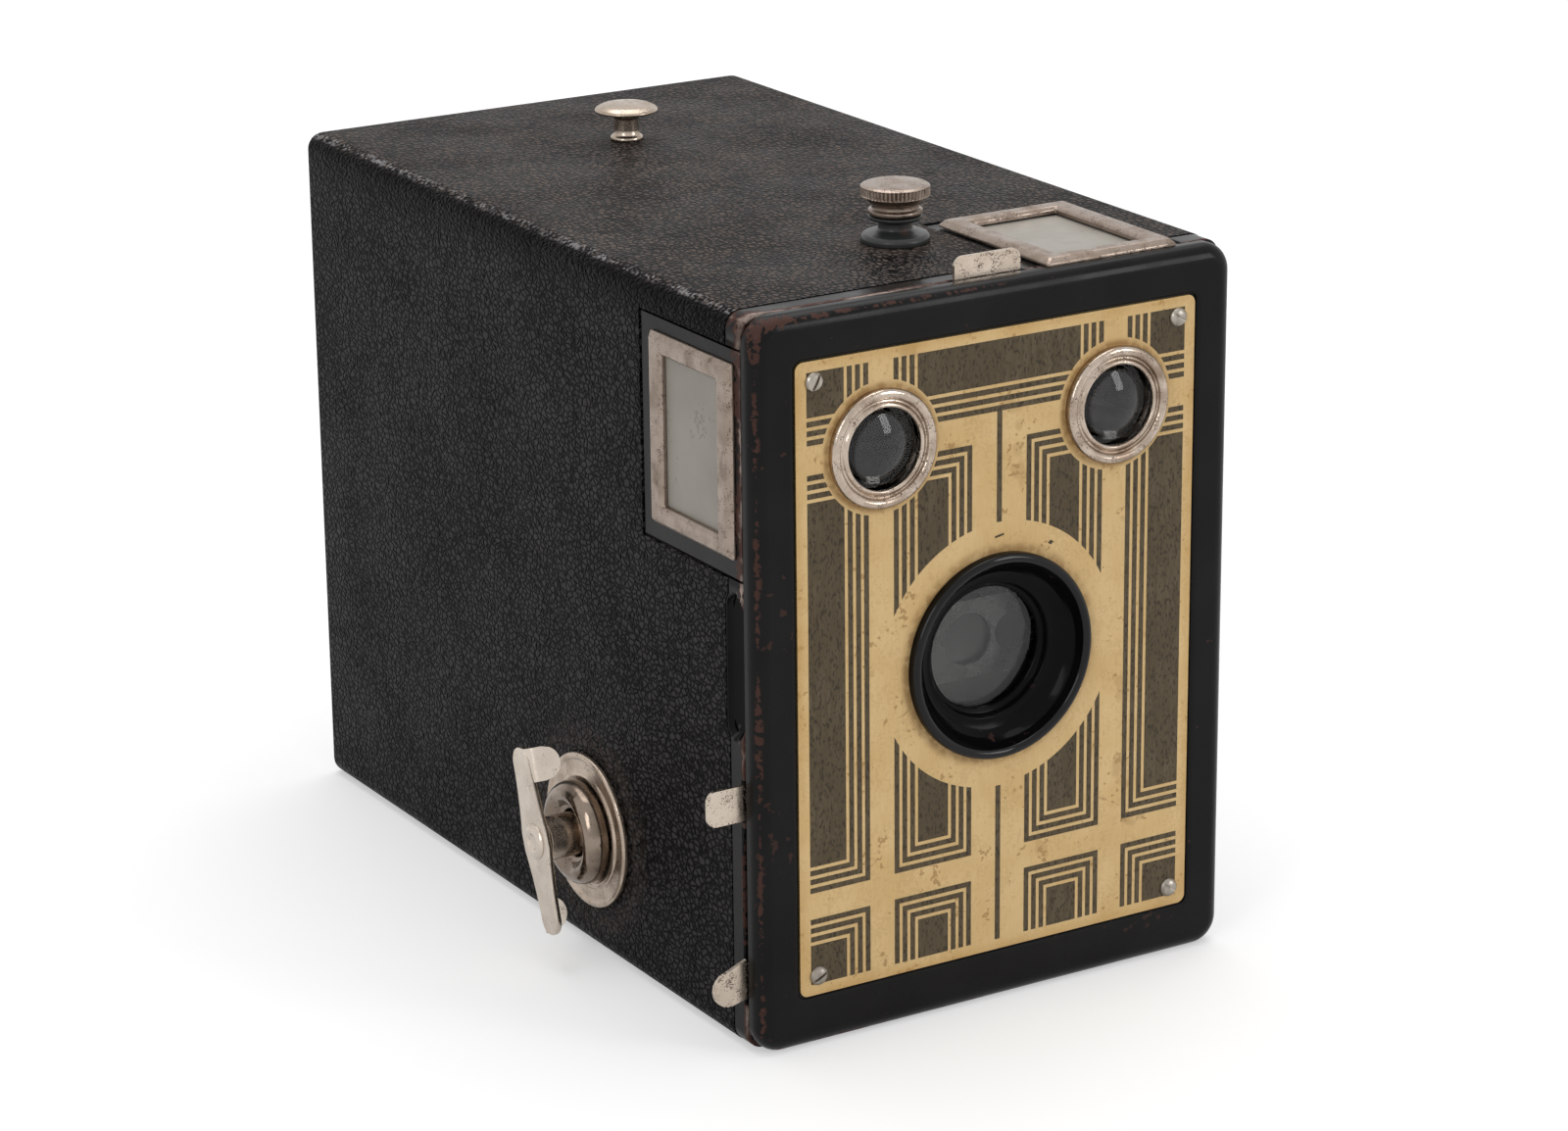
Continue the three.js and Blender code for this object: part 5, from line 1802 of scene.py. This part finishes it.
    def screws(self) -> None:
        """Four slotted screws, each stopped at its own angle."""
        profile = [
            (0.0, -0.72), (0.7, -0.66), (1.1, -0.45), (1.33, -0.1), (1.35, 0.08), (0.8, 0.1), (0.8, 1.0),
            (0.0, 1.0),
        ]
        long, half = self.slot_half
        blade = ((-long, -half), (long, -half), (long, half), (-long, half))
        for number, ((x, z), turn) in enumerate(zip(self.front.screws(), self.slot_turns), start=1):
            shaper = Shaper()
            shaper.turn(soften(profile, 0.2, 3), (x, 0.0, z), Axis.Y, 40)
            piece = shaper.make(
                f"slotted_screw_{number}", SCREW_STEEL, Rides.SECTION, (f"face_screw_{number}",)
            )
            tool = Shaper()
            c, s = math.cos(math.radians(turn)), math.sin(math.radians(turn))
            corners = [(x + a * c - b * s, z + a * s + b * c) for a, b in blade]
            tool.prism([tool.front_ring(corners, depth) for depth in self.slot_depths])
            carve(piece, tool)

    def build(self) -> None:
        """Builds the plate, its stripes and marks and its screws."""
        self.plate()
        self.stripes()
        self.marks()
        self.screws()


@dataclass
class LensMount:
    """The black hood with its rolled rim, and the lens behind it."""

    front: Front

    def build(self) -> None:
        """Builds the hood and the lens."""
        centre = (0.0, 0.0, self.front.lens_z)
        crest = arc((13.72, -0.74), 0.74, 0, -170, 14)
        outer = [
            (10.2, 6.0), (10.8, 6.0), (10.8, 3.1), (13.0, 3.1), (13.0, 0.12), (14.3, 0.12), (14.44, 0.0)
        ]
        bowl = [
            (12.6, 0.1), (11.9, 1.1), (11.0, 1.85), (10.1, 2.1), (9.62, 2.1), (9.42, 2.3), (9.3, 3.2),
            (8.7, 3.3), (8.6, 3.45),
        ]
        hood = [
            *outer, *soften([(14.46, -0.3), *crest, *bowl], 0.3, 3), (8.6, 3.9), (10.2, 3.9), (10.2, 6.0)
        ]
        lathe("hood_dish", hood, centre, Axis.Y, HOOD_ENAMEL, Rides.SECTION, "lens_hood", 128)
        lens = [
            (0.0, 3.62), (2.5, 3.64), (5.0, 3.75), (7.0, 3.9), (8.3, 4.02), (9.75, 4.1), (9.75, 5.5),
            (8.3, 5.5), (5.0, 5.25), (2.5, 5.1), (0.0, 5.05),
        ]
        lathe("lens_disc", lens, centre, Axis.Y, LENS_GLASS, Rides.SECTION, "taking_lens", 96)


@dataclass
class Finders:
    """The two brilliant finders: bezels and lenses in front, framed ground glasses outside."""

    front: Front
    glass_wide: float = 14.2
    glass_long: float = 20.8
    frame_wide: float = 21.0
    frame_long: float = 26.5
    side_x: float = -37.85
    side_depth: float = 15.5
    side_z: float = 82.1
    top_x: float = 19.6
    top_depth: float = 15.65
    top_z: float = 102.05
    box_edge: float = 0.25
    glass_edge: float = 0.1

    def bezel(self, name: str, x: float) -> None:
        """One rolled nickel bezel with its bulging lens.

        Args:
            name: which finder it belongs to.
            x: its centre.
        """
        centre = (x, 0.0, self.front.finder_z)
        roll = arc((7.45, -0.55), 0.72, 0, -165, 12)
        profile = [
            (6.5, 1.0), (6.85, 1.0), (6.85, 0.12), (8.05, 0.12), (8.17, -0.1), *roll, (6.65, -0.55),
            (6.4, -0.6), (6.05, -1.0), (5.75, -1.02), (5.6, -0.8), (5.6, -0.25), (6.5, -0.25), (6.5, 1.0),
        ]
        ring = profile[:4] + soften(profile[4:], 0.12, 3)[1:]
        lathe(
            f"rolled_bezel_{name}", ring, centre, Axis.Y, BRIGHT_NICKEL, Rides.SECTION,
            f"finder_bezel_{name}", 96,
        )
        radius, rise = 9.2, 8.15
        dome = [
            (radius * math.sin(a), rise - radius * math.cos(a))
            for a in (math.radians(i * 3.5) for i in range(11))
        ]
        lens = [*dome, (6.3, 0.7), (6.3, 1.0), (0.0, 1.0)]
        lathe(
            f"bulging_lens_{name}", lens, centre, Axis.Y, LENS_GLASS, Rides.SECTION, f"finder_lens_{name}"
        )

    def on_side(self, across: float, along: float, out: float) -> Vector:
        """A point of the side's frame in metres."""
        return place(self.side_x - out, self.side_depth + across, self.side_z + along)

    def on_top(self, across: float, along: float, out: float) -> Vector:
        """A point of the top's frame in metres."""
        return place(self.top_x + across, self.top_depth + along, self.top_z + out)

    def window_frame(self, name: str, to_frame: Lay) -> None:
        """One bevelled nickel frame.

        Args:
            name: which finder it belongs to.
            to_frame: turns across, along and out into a point in metres.
        """
        shaper = Shaper()
        wide, long = self.frame_wide / 2, self.frame_long / 2
        glass_wide, glass_long = self.glass_wide / 2, self.glass_long / 2
        outer = rounded((-wide, -long), (wide, long), 0.4, 5)
        inner = rounded((-glass_wide, -glass_long), (glass_wide, glass_long), 0.2, 5)
        rows = soften(
            [(0.0, 0.0), (0.0, 0.3), (0.24, 1.05), (0.84, 0.98), (0.93, 0.72), (0.99, 0.5), (1.0, 0.0)],
            0.12,
            3,
        )
        rings = [
            shaper.ring(to_frame(x, y, out) for x, y in between(outer, inner, share))
            for share, out in rows
        ]
        shaper.loft(rings)
        shaper.bridge(rings[-1], rings[0])
        shaper.make(f"bevelled_frame_{name}", FRAME_NICKEL, Rides.SECTION, (f"finder_frame_{name}",))

    def build(self) -> None:
        """Builds both finders and dresses their inner parts."""
        for name, x in (("side", -self.front.finder_x), ("top", self.front.finder_x)):
            self.bezel(name, x)
        self.window_frame("side", self.on_side)
        self.window_frame("top", self.on_top)
        for name in ("side", "top"):
            dress_node(f"finder_box_{name}", BOX_ENAMEL, self.box_edge)
            dress_node(f"finder_glass_{name}", GROUND, self.glass_edge)
            dress_node(f"finder_mirror_{name}", PAINTED_DARK_SILVER)


# ---- controls ------------------------------------------------------------------------
@dataclass
class WindingKey:
    """The winding key: flange, domed bush, hub and a wing with two folded ends."""

    depth: float = 46.0
    z: float = 18.0
    wall: float = -38.0
    inner: float = 8.0
    thick: float = 0.9
    half: float = 13.4
    wide: float = 3.9
    tip: float = 2.3
    flap: float = 4.3
    flap_in: float = 0.45
    flap_root: float = 1.1
    flap_half: float = 2.4
    flap_bend: float = 2.1
    flap_corner: float = 2.3
    flap_skins: Pair = (0.02, 0.6)
    leans: Pair = (68.0, 104.0)
    tilt: float = 19.0
    tongue: Pair = (-35.1, -31.9)
    flange: tuple[Pair, ...] = (
        (4.9, 0.0), (11.1, 0.0), (11.2, 0.25), (11.15, 0.8), (10.75, 1.0), (10.35, 0.9), (10.1, 0.62),
        (8.6, 0.62), (8.3, 0.85), (7.9, 0.95), (7.5, 0.8), (4.9, 0.8), (4.9, 0.0),
    )
    bush: tuple[Pair, ...] = (
        (3.4, -2.0), (4.3, -2.0), (4.3, 1.0), (7.3, 1.0), (7.45, 1.5), (7.5, 2.3), (7.2, 3.2), (6.6, 3.95),
        (5.7, 4.28), (5.0, 4.05), (4.35, 3.3), (4.1, 2.9), (3.4, 2.75), (3.4, -2.0),
    )
    rivet: tuple[Pair, ...] = (
        (0.0, 0.12), (0.75, 0.14), (1.05, 0.3), (1.3, 0.55), (1.8, 0.58), (2.35, 0.36), (2.6, 0.04),
        (2.55, -0.1), (2.1, -0.2),
    )

    @property
    def centre(self) -> Spot:
        """A point on the key's axis."""
        return (0.0, self.depth, self.z)

    def outward(self, profile: Sequence[Pair], reach: float) -> list[Pair]:
        """A profile of radii and distances out from the wall, softened and laid along x."""
        return [(radius, self.wall - out) for radius, out in soften(profile, reach)]

    def to_frame(self, across: float, along: float, out: float) -> Vector:
        """Places a point of the wing.

        Args:
            across: millimetres across the wing, towards the back.
            along: millimetres along the wing, upwards.
            out: millimetres from the wing's inner face, away from the wall.

        Returns:
            The point in metres.
        """
        turn = math.radians(-self.tilt)
        y = across * math.cos(turn) - along * math.sin(turn)
        z = across * math.sin(turn) + along * math.cos(turn)
        return place(self.wall - self.inner - out, self.depth + y, self.z + z)

    def wing_outline(self) -> list[Pair]:
        """The wing's outline: two round ends and a wide middle."""
        end, tip = self.half - self.tip, self.tip
        upper = arc((0.0, end), tip, 0, 180, 14)
        lower = arc((0.0, -end), tip, 180, 360, 14)
        waist = self.half * 0.45

        def flank(sign: float, start: float) -> list[Pair]:
            """One long side between the ends, in two curves."""
            points = []
            middle = (sign * self.wide, 0.0)
            first = ((sign * tip, start * end), (sign * tip, start * waist), middle)
            second = (middle, (sign * tip, -start * waist), (sign * tip, -start * end))
            for a, b, c in (first, second):
                for i in range(1, 10):
                    t = i / 10
                    points.append(
                        tuple(a[k] * (1 - t) ** 2 + 2 * b[k] * t * (1 - t) + c[k] * t * t for k in (0, 1))
                    )
            return points

        return [*upper, *flank(-1.0, 1.0), *lower, *flank(1.0, -1.0)]

    def flap_columns(self, lean: float) -> list[list[Spot]]:
        """The middle sheet of a folded end.

        Args:
            lean: how far it is folded, in radians.

        Returns:
            Columns across its width, each running out from the fold: millimetres sideways,
            down towards the wall and along the wing.
        """
        half_wide, bend, corner = self.flap_half, self.flap_bend, self.flap_corner
        length = bend * HALF_TURN / 2 + self.flap - bend
        columns = []
        for i in range(17):
            u = -half_wide + 2 * half_wide * i / 16
            over = max(abs(u) - (half_wide - corner), 0.0)
            end = length - (corner - math.sqrt(max(corner**2 - over**2, 0.0)))
            column = []
            for j in range(19):
                s = end * j / 18
                angle = min(s / bend, lean)
                rest = max(s - bend * lean, 0.0)
                across = bend * math.sin(angle) + rest * math.cos(lean)
                column.append((across, bend * (1 - math.cos(angle)) + rest * math.sin(lean), u))
            columns.append(column)
        return columns

    def flap_sheet(self, shaper: Shaper, way: float) -> None:
        """One folded end: a rounded tongue bent from the wing's side towards the wall.

        Args:
            shaper: the mesh to add to.
            way: 1 for the upper one, at the wing's front side, or -1 for the lower one.
        """
        middle = way * (self.half - self.tip - self.flap_in)
        columns = self.flap_columns(math.radians(self.leans[0] if way > 0.0 else self.leans[1]))
        skins = []
        for shell in self.flap_skins:
            grid = []
            for column in columns:
                line = []
                for k, (side, down, u) in enumerate(column):
                    before, after = column[max(k - 1, 0)], column[min(k + 1, len(column) - 1)]
                    along = Vector((after[0] - before[0], after[1] - before[1])).normalized()
                    across = side + (along.y * -shell if along.length else 0.0)
                    out = self.thick - (down + along.x * shell)
                    line.append(self.to_frame(-way * (self.tip - self.flap_root + across), middle + u, out))
                grid.append(shaper.ring(line))
            shaper.loft(grid, closed=False)
            skins.append(grid)
        self.close_flap(shaper, *skins)

    @staticmethod
    def close_flap(shaper: Shaper, outer: Sequence[Ring], inner: Sequence[Ring]) -> None:
        """Closes the edge between a flap's two skins."""

        def edge(grid: Sequence[Ring]) -> Ring:
            """The rim of a skin, all the way round."""
            inside = grid[1:-1]
            return [
                *grid[0],
                *(line[-1] for line in inside),
                *reversed(grid[-1]),
                *(line[0] for line in reversed(inside)),
            ]

        shaper.bridge(edge(outer), edge(inner))

    def wing(self) -> None:
        """The wing with its folded ends."""
        shaper = Shaper()
        shaper.slab(self.wing_outline(), self.to_frame, self.thick, 0.22)
        for way in (1.0, -1.0):
            self.flap_sheet(shaper, way)
        shaper.make("folded_wing", WING_NICKEL, Rides.KEY, ("key_wing",))

    def build(self) -> None:
        """Builds the key's pieces."""
        sleeve = [
            (2.35, self.inner - 0.3), (3.1, self.inner - 0.3), (3.1, -2.3), (4.0, -2.3), (4.0, -2.8),
            (2.35, -2.8), (2.35, self.inner - 0.3),
        ]
        turned = (
            ("key_rosette", self.flange, 0.18, NICKEL, Rides.SHELL, "key_flange"),
            ("key_dome", self.bush, 0.35, DIM_REFLECTION_NICKEL, Rides.SHELL, "key_bush"),
            ("key_sleeve", sleeve, 0.15, NICKEL, Rides.HUB, "key_hub"),
        )
        for name, profile, reach, finish, body, node in turned:
            lathe(name, self.outward(profile, reach), self.centre, Axis.X, finish, body, node, 96)
        self.wing()
        self.shaft()

    def shaft(self) -> None:
        """The riveted shaft with the flat tongue that drives the spool."""
        top = self.inner + self.thick
        rivet = [(radius, top + up) for radius, up in self.rivet] + [(2.1, -3.1), (0.0, -3.1)]
        shaper = Shaper()
        shaper.turn(self.outward(rivet, 0.2), self.centre, Axis.X, 64)
        section = rounded((-2.1, -0.5), (2.1, 0.5), 0.2, 3)
        shaper.prism(
            [shaper.ring(place(x, self.depth + y, self.z + z) for y, z in section) for x in self.tongue]
        )
        shaper.make("key_rivet", WING_NICKEL, Rides.KEY, ("key_shaft",))


@dataclass
class Tabs:
    """The shutter's levers and slides, whose ends come out at the rim."""

    names: tuple[str, ...] = ("shutter_lever", "stop_slide", "time_slide")
    eased: float = 0.12

    def build(self) -> None:
        """Dresses the levers and slides."""
        for name in self.names:
            dress_node(name, TAB_NICKEL, self.eased)


@dataclass
class TopFittings:
    """The black strap post, the knurled thumbscrew in it and the strap stud."""

    top: float = 102.0
    post_depth: float = 25.5
    stud_depth: float = 99.0
    ridges: int = 52
    post: tuple[Pair, ...] = (
        (1.8, 0.0), (4.75, 0.0), (4.75, 0.75), (4.35, 1.25), (2.9, 1.45), (2.35, 1.8), (2.25, 2.9),
        (3.5, 3.15), (3.7, 3.35), (3.7, 3.7), (1.8, 3.7), (1.8, 0.0),
    )
    knob: tuple[Pair, ...] = (
        (0.0, -5.2), (1.5, -5.2), (1.5, 3.8), (3.5, 3.8), (3.72, 4.05), (3.72, 4.5), (3.2, 4.75),
        (3.2, 5.3), (3.72, 5.6), (4.0, 6.25), (4.55, 6.35), (4.75, 6.46), (4.75, 6.6), (4.75, 7.6),
        (4.75, 7.74), (4.5, 7.9), (4.1, 8.05), (2.5, 8.1), (0.0, 8.1),
    )
    stud: tuple[Pair, ...] = (
        (0.0, -2.3), (2.2, -2.3), (2.2, -1.6), (1.3, -1.6), (1.3, 0.02), (2.45, 0.02), (2.45, 0.5),
        (2.0, 0.85), (1.85, 1.4), (1.85, 3.3), (2.1, 3.75), (3.6, 4.0), (4.6, 4.25), (4.7, 4.5),
        (4.45, 4.85), (3.6, 5.25), (1.8, 5.55), (0.0, 5.62),
    )

    def raised(self, line: Sequence[Pair]) -> list[Pair]:
        """A profile with its heights counted from the floor instead of from the top."""
        return [(radius, self.top + up) for radius, up in line]

    def knurl(self, z: float, angle: float) -> float:
        """The extra radius of the thumbscrew's ridges at a height and angle."""
        low, high = self.top + 6.45, self.top + 7.75
        if not low < z < high:
            return 0.0
        fade = min((z - low) / 0.12, (high - z) / 0.12, 1.0)
        return -0.26 * fade * (0.5 - 0.5 * math.cos(angle * self.ridges)) ** 1.5

    def build(self) -> None:
        """Builds the three fittings and dresses the clamp nut."""
        front, rear = (0.0, self.post_depth, 0.0), (0.0, self.stud_depth, 0.0)
        post, knob, stud = (self.raised(line) for line in (self.post, self.knob, self.stud))
        lathe("strap_foot", soften(post, 0.22), front, Axis.Z, POST_ENAMEL, Rides.SHELL, "strap_post")
        knob, sides = soften(knob, 0.12, 2), self.ridges * 6
        lathe(
            "knurled_screw", knob, front, Axis.Z, FRAME_NICKEL, Rides.KNOB, "clamp_knob", sides, self.knurl
        )
        lathe("strap_button", soften(stud, 0.3), rear, Axis.Z, NICKEL, Rides.SHELL, "strap_stud")
        dress_node("clamp_nut", STEEL, 0.15)


@dataclass
class Interior:
    """The shutter, the light cone and the film path, seen when the front slides out."""

    dark: tuple[str, ...] = (
        "shutter_board", "shutter_disc", "lens_cone", "side_plate_left", "side_plate_right", "take_up_spool"
    )
    steel: tuple[str, ...] = (
        "disc_pivot", "lever_pivot", "lever_spring", "take_up_pin", "supply_pin_left", "supply_pin_right",
        "film_roller_low", "film_roller_high", "film_spring_low", "film_spring_high",
    )

    eased: float = 0.12

    def build(self) -> None:
        """Dresses the inner nodes."""
        for name in self.dark:
            dress_node(name, DARK_STEEL, self.eased)
        for name in self.steel:
            dress_node(name, STEEL)


# ---- studio --------------------------------------------------------------------------
@dataclass
class Studio:
    """The pale floor, soft lights and the camera."""

    lens: float = 106.0
    sensor: float = 36.0
    stand: Spot = (-328.1, -550.1, 256.0)
    yaw: float = 31.26
    pitch: float = 18.25
    roll: float = -0.59
    ambient: float = 0.55
    floor_half: float = 3.0

    def camera(self) -> None:
        """The camera in front, to the left and above."""
        data = bpy.data.cameras.new("view_camera")
        data.lens, data.sensor_width = self.lens, self.sensor
        data.clip_start, data.clip_end = 0.01, 50.0
        yaw, pitch, roll = (math.radians(a) for a in (self.yaw, self.pitch, self.roll))
        forward = Vector(
            (math.sin(yaw) * math.cos(pitch), math.cos(yaw) * math.cos(pitch), -math.sin(pitch))
        )
        right = Vector((math.cos(yaw), -math.sin(yaw), 0.0))
        up = right.cross(forward)
        across = math.cos(roll) * right + math.sin(roll) * up
        upwards = math.cos(roll) * up - math.sin(roll) * right
        turn = Matrix((across, upwards, -forward)).transposed().to_4x4()
        piece = hang("view_camera", data)
        piece.matrix_world = Matrix.Translation(Vector(self.stand) * MM) @ turn
        bpy.context.scene.camera = piece

    def lamp(self, name: str, place_at: Spot, aim: Spot, size: Pair, power: float) -> None:
        """One soft rectangular lamp.

        Args:
            name: its name.
            place_at: where it hangs, in metres.
            aim: the point that it faces, in metres.
            size: its width and height in metres.
            power: its power in watts.
        """
        data = bpy.data.lights.new(name, "AREA")
        data.shape, data.size, data.size_y, data.energy = "RECTANGLE", *size, power
        piece = hang(name, data)
        piece.location = place_at
        piece.rotation_euler = (Vector(aim) - Vector(place_at)).to_track_quat("-Z", "Y").to_euler()

    def seen(self, sheet: Sheet) -> Socket:
        """The mask of the rays that show the plain white ground: camera, glossy and clear ones."""
        path = sheet.add("LightPath").outputs
        near = sheet.math("MAXIMUM", path["Is Camera Ray"], path["Is Transmission Ray"])
        return sheet.math("MAXIMUM", near, path["Is Glossy Ray"])

    def world(self) -> None:
        """A soft grey world that is seen as white."""
        world = bpy.data.worlds.new("studio_world")
        world.use_nodes = True
        bpy.context.scene.world = world
        sheet = Sheet(world.node_tree)
        lit = world.node_tree.nodes["Background"]
        lit.inputs["Color"].default_value = (1.0, 1.0, 1.0, 1.0)
        lit.inputs["Strength"].default_value = self.ambient
        white = sheet.add("Background", inputs={"Color": (1.0, 1.0, 1.0, 1.0), "Strength": 1.0})
        mix = sheet.add("MixShader", inputs={0: self.seen(sheet), 1: lit.outputs[0], 2: white.outputs[0]})
        sheet.feed(world.node_tree.nodes["World Output"].inputs["Surface"], mix.outputs[0])

    def floor(self) -> None:
        """A plain pale floor that keeps the shadow."""
        shaper, half = Shaper(), self.floor_half
        corners = ((-half, -half), (half, -half), (half, half), (-half, half))
        shaper.face(*shaper.ring(Vector((x, y, 0.0)) for x, y in corners))
        piece = shaper.bake("floor")
        material = bpy.data.materials.new("pale_floor")
        material.use_nodes = True
        sheet = Sheet(material.node_tree)
        shader = material.node_tree.nodes["Principled BSDF"].inputs
        tone = sheet.span(sheet.noise(9.0, detail=2.0), 0.2, 0.8, 0.0, 1.0)
        gap = sheet.add("VectorMath", operation="LENGTH", inputs={0: sheet.here()})
        far = sheet.span(gap.outputs["Value"], 0.35, 0.9)
        pale = sheet.blend(tone, (0.60, 0.60, 0.60), (0.62, 0.62, 0.615))
        sheet.feed(shader["Base Color"], sheet.blend(far, pale, (0.25, 0.25, 0.25)))
        shader["Roughness"].default_value = 0.9
        shader["Specular IOR Level"].default_value = 0.1
        shader["Emission Color"].default_value = (1.0, 1.0, 1.0, 1.0)
        glow = sheet.math("MULTIPLY_ADD", far, 0.50, 0.42)
        sheet.feed(shader["Emission Strength"], sheet.math("MULTIPLY", self.seen(sheet), glow))
        piece.data.materials.append(material)

    def build(self) -> None:
        """Sets the view, the lamps, the world and the floor."""
        bpy.context.scene.view_settings.view_transform = "Standard"
        self.camera()
        self.world()
        self.floor()
        self.lamp("overhead", (0.15, 0.25, 1.3), (0.0, 0.0, 0.05), (1.2, 1.2), 10.5)
        self.lamp("left_softbox", (-1.2, -0.7, 0.75), (0.0, 0.0, 0.06), (0.35, 0.8), 3.6)
        self.lamp("right_softbox", (0.9, -1.25, 0.6), (0.0, 0.0, 0.06), (0.4, 0.8), 5.6)


def main() -> None:
    """Builds the body, the front, the controls and the inside, then the studio."""
    logging.basicConfig(level=logging.INFO, format="%(name)s: %(message)s")
    front = Front()
    Body().build()
    FrontPan(front).build()
    FacePlate(front).build()
    LensMount(front).build()
    Finders(front).build()
    Tabs().build()
    WindingKey().build()
    TopFittings().build()
    Interior().build()
    Studio().build()


if __name__ == "__main__":
    main()
